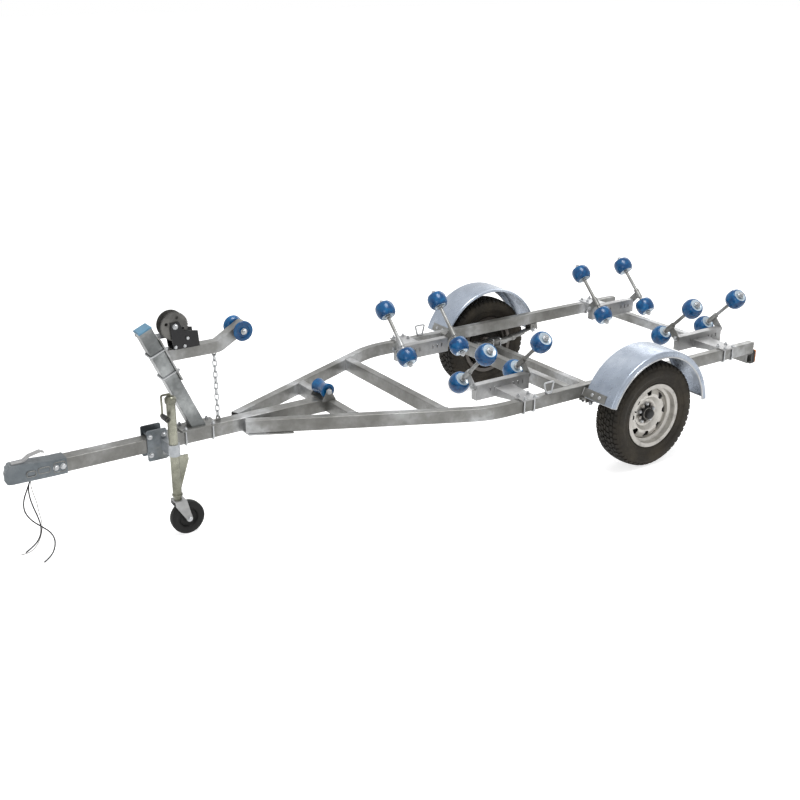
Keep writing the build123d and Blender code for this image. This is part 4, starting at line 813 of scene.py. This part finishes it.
for middle, way, halfWidth, leg, plate in bolts:
    out = Vector((0, halfWidth + uBolt["gap"], 0))
    top, low = way * (tube["half"] + leg), way * -(tube["half"] + uBolt["gap"])
    hoop(bm, middle, out, top, low, uBolt["bend"], 5, uBolt["rod"])
    seat = way * (tube["half"] + plate + uBolt["nutGap"])
    nuts += [(middle + (sign * out + seat) / 1000, way, uBolt["nut"]) for sign in (1, -1)]
fit(bm, "uBolts", "zinc", "frame", "zinc_plate", "u_bolts")

# Chain
chain = {"x": 2385, "top": 884.5, "pitch": 31.7, "links": 11, "innerHalf": 15.95, "bend": 10,
         "wire": 3.5, "steps": 24, "sides": 10}
bm = bmesh.new()
straight = chain["innerHalf"] + chain["wire"] - chain["bend"]
rings = []
for t in turns(chain["steps"]):
    lift = straight if math.sin(t) >= 0 else -straight
    middle = Vector((0, chain["bend"] * math.cos(t), chain["bend"] * math.sin(t) + lift))
    out, across = Vector((0, math.cos(t), math.sin(t))), Vector((1, 0, 0))
    rings.append([(middle + (out * math.cos(a) + across * math.sin(a)) * chain["wire"]) / 1000
                  for a in turns(chain["sides"])])
skin(bm, rings, True)
linkUnit = wrapUp(bm, "linkUnit", "zinc", 60)
settle(turnedCopies("safetyChain", linkUnit, chain["links"], place(chain["x"], 0, chain["top"]),
                    (0, 0, -chain["pitch"] / 1000), (0, 0, 1), math.pi / 2, "zinc", 60),
       "frame", "zinc_plate", "safety_chain")

# Springs' fastenings
springs = {
    "pads": (  # x, z, length, width, depth, corner, edge
        (0, 381, 100, 82, 10, 8, 1.5), (0, 298.5, 100, 82, 8, 8, 1.5), (-150, 375, 24, 52, 30, 3, 1),
        (150, 375, 24, 52, 30, 3, 1)),
    "boltSpread": 30, "legSide": 28.5, "rod": 5,
    "legs": (280, 386), "bow": (380, 392.5), "bowBend": 8, "nutHeight": 294.2, "nut": 9.5,
    "eye": (315.6, 29.8, 406.6), "eyeNut": 12,
}
bm, plates = bmesh.new(), bmesh.new()
for side in (1, -1):
    y = side * rail["side"]
    for x, z, *sizes in springs["pads"]:
        slab(plates, place(x, y, z), (1, 0, 0), (0, 1, 0), *sizes)
    for shift in (-springs["boltSpread"], springs["boltSpread"]):
        out, middle = Vector((0, springs["legSide"], 0)), place(shift, y, 0)
        foot, top = [upward * z for z in springs["legs"]]
        low, high = [upward * z for z in springs["bow"]]
        for sign in (1, -1):
            rod(bm, [middle + (sign * out + level) / 1000 for level in (foot, top)], springs["rod"], 12)
            seat = sign * out + upward * springs["nutHeight"]
            nuts.append((middle + seat / 1000, (0, 0, -1), springs["nut"]))
        hoop(bm, middle, out, low, high, springs["bowBend"], 4, springs["rod"])
    for shift in (-springs["eye"][0], springs["eye"][0]):
        nuts += bothSides(shift, *springs["eye"][1:], springs["eyeNut"], y)
fit(bm, "axleBolts", "zinc", "frame", "zinc_plate", angle=32)
fit(plates, "axlePlates", "steel", "frame", "galvanised_steel", angle=32)

# Jockey stand
jack = {
    "x": 2705, "side": 150, "crank": 48, "grip": (152, 684), "head": 747, "foot": 226,
    "clampX": 2752, "clampSide": 45.9, "clampBolts": (38, 50.5), "clampNut": 11.5,
    "gripSection": ((0, 0), (0, 12.2), (3, 13.8), (30, 14.6), (56, 14), (66, 15.2), (71.5, 13.5), (73, 0)),
    "headSection": ((0, 0), (0, 29.2), (2.5, 30.2), (22.5, 30.2), (26, 29), (34, 20), (34.5, 0)),
    "footSection": ((0, 23.5), (0, 27.2), (1.5, 28.2), (10.5, 28.2), (12, 27.2), (12, 23.5)),
}
for dx in (-jack["clampBolts"][0], jack["clampBolts"][0]):
    for dz in (-jack["clampBolts"][1], jack["clampBolts"][1]):
        nuts += bothSides(jack["clampX"] + dx, jack["clampSide"], tube["middle"] + dz, jack["clampNut"])
bm = turned(jack["gripSection"], place(jack["x"] + jack["crank"], *jack["grip"]), (0, 1, 0), 28, False)
fit(bm, "jackGrip", "blackCap", "frame", "black_rubber")
bm = turned(jack["headSection"], place(jack["x"], jack["side"], jack["head"]), (0, 0, 1), 40, False)
fit(bm, "jackHead", "passivated", "frame", "galvanised_steel")
bm = turned(jack["footSection"], place(jack["x"], jack["side"], jack["foot"]), (0, 0, 1), 40)
fit(bm, "jackFootRing", "passivated", "frame", "galvanised_steel")

jockey = {
    "centre": (2660, 150, 92),
    "tyre": (  # half a section: out from the middle plane, radius
        (13, 55.5), (22, 58), (23.6, 64), (24, 78), (22.5, 86.5), (18, 90.5), (10, 91.8)),
    "hub": (
        (21.5, 6.8), (21.5, 17.5), (16.5, 22.5), (9.5, 26.2), (9.5, 46.5), (16.5, 51.5), (21.5, 54),
        (21.5, 58)),
    "nutSide": 36.2, "nut": 11.5,
}
x, y, z = jockey["centre"]
bm = turned(mirrored(jockey["tyre"]), place(x, y, z), (0, 1, 0), 56)
fit(bm, "jockeyTyre", "jockey", "jack_wheel", "black_rubber", "jockey_wheel")
bm = turned(mirrored(jockey["hub"]), place(x, y, z), (0, 1, 0), 48)
fit(bm, "jockeyHub", "jockey", "jack_wheel", "black_rubber")
fasten("jockeyNuts", nutUnit, bothSides(x, jockey["nutSide"], z, jockey["nut"], y), "jack_caster")

# Winch
winch = {
    "drum": (2606, 40.4, 1102), "drumNut": 12,
    "pinion": (2544.273, 1033.445), "pinionSide": -66.4, "pinionNut": 15,
    "crank": 190, "gripSide": -66,
    "grip": (
        (0, 0), (0, 14.8), (4, 17.2), (12, 16), (30, 17.2), (52, 17.6), (74, 16.6), (86, 17.8), (92.5, 17),
        (96.5, 15), (96.8, 0)),
    "feet": ((2560, 40.2, 992), (2610, 40.2, 992)), "footHead": 6.8,
}
pinionX, pinionZ = winch["pinion"]
bm = turned(winch["grip"], place(pinionX + winch["crank"], winch["gripSide"], pinionZ), (0, -1, 0), 32, False)
fit(bm, "crankGrip", "blackCap", "winch_crank", "black_rubber")
end = (place(pinionX, winch["pinionSide"], pinionZ), (0, -1, 0), winch["pinionNut"])
fasten("crankNuts", nutUnit, [end], "winch_crank")
fasten("drumNuts", nutUnit, bothSides(*winch["drum"], winch["drumNut"]), "winch_drum")
for foot in winch["feet"]:
    heads += bothSides(*foot, winch["footHead"])

# Coupler, lamps and the rest
coupler = {
    "bolts": ((3248, 41.9, 488), (3284, 41.9, 488)), "head": 12,
    "rims": (  # back, front, low, high, bend
        (3238, 3294, 462, 514, 8), (3314, 3372, 474, 504, 12), (3384, 3430, 470, 498, 13)),
    "rimSide": 41.6, "rimRod": 2.4,
}
tie = {"bolts": (2060, 2140, 2220), "taper": 0.477, "tipSide": 68, "under": 441.8, "head": 10}
stay = {"angles": (24, 168), "across": (749, 809), "reach": 408.6, "head": 8.5}
ring = {
    "foot": (624, 655, 529), "rod": 5.5, "bend": 9,
    "corners": ((-20, 0), (-36, 62), (36, 62), (20, 0), (-20, 0)),
    "plate": (30, 26, 6, 4, 1), "plateHeight": 527.5,  # length, width, depth, corner, edge
}
lenses = {
    "back": -1134.6, "height": 420, "red": (592, 74), "amber": (648, 34),  # side, width
    "shape": (88, 10, 10, 3),  # height, depth, corner, edge
}
for bolt in coupler["bolts"]:
    heads += bothSides(*bolt, coupler["head"])
for roller in (keelRoller, bowRoller):
    nuts += bothSides(roller["x"], roller["nutSide"], roller["z"], roller["nut"])
for side in (1, -1):
    for angle in stay["angles"]:
        out = spoke(math.radians(angle))
        heads += [(place(0, side * across, wheel["height"]) + out * stay["reach"] / 1000, out, stay["head"])
                  for across in stay["across"]]
for x in tie["bolts"]:
    y = tie["tipSide"] + (rail["tip"] - x) * tie["taper"]
    heads += [(place(x, side * y, tie["under"]), (0, 0, -1), tie["head"]) for side in (1, -1)]
bm = bmesh.new()
for side in (1, -1):
    for near, far, low, high, bend in coupler["rims"]:
        y = side * coupler["rimSide"]
        start = place((near + far) / 2, y, low)
        corners = [place(x, y, z) for x, z in ((far, low), (far, high), (near, high), (near, low))]
        rod(bm, rounded([start, *corners, start], bend, 5), coupler["rimRod"], 8)
fit(bm, "couplerPanels", "steel", "frame", "galvanised_steel", angle=60)
bm = bmesh.new()
for side in (1, -1):
    x, y, z = ring["foot"]
    corners = [place(x + dx, side * y, z + dz) for dx, dz in ring["corners"]]
    rod(bm, rounded(corners, ring["bend"], 4), ring["rod"], 10)
    slab(bm, place(x, side * y, ring["plateHeight"]), (1, 0, 0), (0, 1, 0), *ring["plate"])
fit(bm, "tieRings", "zinc", "frame", "zinc_plate", angle=50)
fasten("frameNuts", nutUnit, nuts, "frame")
fasten("frameHeads", headUnit, heads, "frame")
for name, tint in (("lensRed", "red"), ("lensAmber", "amber")):
    bm = bmesh.new()
    across, width = lenses[tint]
    for side in (1, -1):
        spot = place(lenses["back"], side * across, lenses["height"])
        slab(bm, spot, (0, 1, 0), (0, 0, 1), width, *lenses["shape"])
    fit(bm, name, tint, "frame", "lamp_black")
print("fastenings made:", len(nuts) + len(heads))


# Welds
def railInside(d):  # Y of a rail's inner face, as far ahead of the axle
    slope = (rail["side"] - rail["frontSide"]) / (rail["tip"] - rail["bend"])
    if d <= rail["bend"]:
        return rail["side"] - rail["half"]
    return rail["side"] - (d - rail["bend"]) * slope - rail["half"] * math.hypot(1, slope)


weld = {
    "crossmembers": (1715, 1265, 455), "crossHalf": 25, "low": 454, "high": 521, "top": 525,
    "cradleSpread": 60, "cradleSide": (434, 436, 478), "cradleHeight": (486, 528, 533.5),
    "staySide": 672, "stayReach": 408.5, "stayHalf": 22, "bead": 3, "beadGap": 3.4,
}
runs = []
for spot in weld["crossmembers"]:
    for side in (1, -1):
        ends = (spot - weld["crossHalf"], spot + weld["crossHalf"])
        runs.append([place(x, side * railInside(x), weld["top"]) for x in ends])
        for x in ends:
            runs.append([place(x, side * railInside(x), z) for z in (weld["low"], weld["high"])])
for cradle, spot in cradles["places"]:
    for side in (1, -1):
        for shift in (-weld["cradleSpread"], weld["cradleSpread"]):
            near, start, far = [side * y for y in weld["cradleSide"]]
            low, high, top = weld["cradleHeight"]
            runs.append((place(spot + shift, near, low), place(spot + shift, near, high)))
            runs.append((place(spot + shift, start, top), place(spot + shift, far, top)))
for side in (1, -1):
    for angle in stay["angles"]:
        out, along = spoke(math.radians(angle)), spoke(math.radians(angle + 90))
        base = place(0, side * weld["staySide"], wheel["height"]) + out * weld["stayReach"] / 1000
        runs.append([base + along * shift / 1000 for shift in (-weld["stayHalf"], weld["stayHalf"])])
settle(beadRun("weldBeads", runs, weld["bead"], weld["beadGap"], "weld"), "frame", "galvanised_steel")
print("welds made:", len(runs))

for unit in (nutUnit, headUnit, lugUnit, linkUnit, tread):
    bpy.data.objects.remove(unit)

# Finishes of the frame's own solids
nodeFinish = {  # by a node's name or the start of it; all else is plain galvanised steel
    "mudguard_left": "sheet", "mudguard_right": "sheet", "rim_": "rim", "tyre_": "tyre", "rollers_": "blue",
    "keel_roller": "blue", "bow_roller": "blue", "jockey_wheel": "jockey", "post_cap": "faded",
    "winch_frame": "black", "winch_drum": "gear", "winch_crank": "zinc", "winch_post": "shaded",
    "u_bolts": "zinc", "safety_chain": "zinc", "tail_lamps": "blackCap", "wire_pale": "paleLead",
    "wire_long": "lead", "wire_short": "lead", "jack_tube": "passivated", "jack_slider": "passivated",
    # the cradle beams, brackets, coupler lever and jockey fork take the paler steel copy, which is painted
    # light
    "jack_clamp": "pressed", "coupler": "pressed", "coupler_lever": "paintedLight", "jockey_fork": "paintedLight",
    "cradle_beam_": "paintedLight", "cradle_brackets": "paintedLight",
}
for name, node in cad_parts.items():
    start = next((key for key in nodeFinish if key.endswith("_") and name.startswith(key)), name)
    for slot in node.material_slots:
        slot.link = "OBJECT"
        slot.material = finishes[nodeFinish.get(start, "steel")]

# Floor, world and lights
studio = {
    "floor": 60.0, "floorGlow": 0.74, "ambient": 0.34,
    "lamps": (("keyLight", (-0.5, 1.2, 7.0), 3.2, 390.0), ("fillLight", (6.0, 5.5, 3.0), 3.5, 100.0),
              ("rimLight", (-6.0, -3.0, 4.0), 3.5, 90.0)),  # name, place, size, power
}
bm = bmesh.new()
bmesh.ops.create_grid(bm, x_segments=1, y_segments=1, size=studio["floor"])
mesh = bpy.data.meshes.new("studioFloor")
bm.to_mesh(mesh)
bm.free()
floorFinish = Finish("floorFinish")
path = floorFinish.add("ShaderNodeLightPath")
seen = floorFinish.num(path.outputs["Is Camera Ray"]).math("MAXIMUM", path.outputs["Is Glossy Ray"])
floorFinish.shader.inputs["Emission Color"].default_value = (1.0, 1.0, 1.0, 1.0)
plug(floorFinish.tree, floorFinish.shader.inputs["Emission Strength"],
     seen.math("MAXIMUM", path.outputs["Is Transmission Ray"]) * studio["floorGlow"])
paleGrey = floorFinish.mix(floorFinish.noise(2.0), (0.78, 0.78, 0.78), (0.8, 0.8, 0.8))
mesh.materials.append(floorFinish.end(paleGrey, 0.9))
floor = addObject("studioFloor", mesh)
floor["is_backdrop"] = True
world = bpy.data.worlds.new("studioWorld")
bpy.context.scene.world = world
world.use_nodes = True
tree = world.node_tree
tree.nodes.clear()
path = tree.nodes.new("ShaderNodeLightPath")
seen = Num(tree, path.outputs["Is Camera Ray"]).math("MAXIMUM", path.outputs["Is Glossy Ray"])
seen = seen.math("MAXIMUM", path.outputs["Is Transmission Ray"])
backdrop = tree.nodes.new("ShaderNodeBackground")
backdrop.inputs["Color"].default_value = (1.0, 1.0, 1.0, 1.0)
plug(tree, backdrop.inputs["Strength"], seen * (1 - studio["ambient"]) + studio["ambient"])
output = tree.nodes.new("ShaderNodeOutputWorld")
tree.links.new(backdrop.outputs[0], output.inputs[0])
for name, spot, size, power in studio["lamps"]:
    data = bpy.data.lights.new(name, "AREA")
    data.energy = power
    data.size = size
    lamp = bpy.data.objects.new(name, data)
    bpy.context.scene.collection.objects.link(lamp)
    lamp.location = spot
    lamp.rotation_euler = (Vector((0, 0, 0.4)) - Vector(spot)).to_track_quat("-Z", "Y").to_euler()
bpy.context.scene.view_settings.view_transform = "Standard"

low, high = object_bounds()
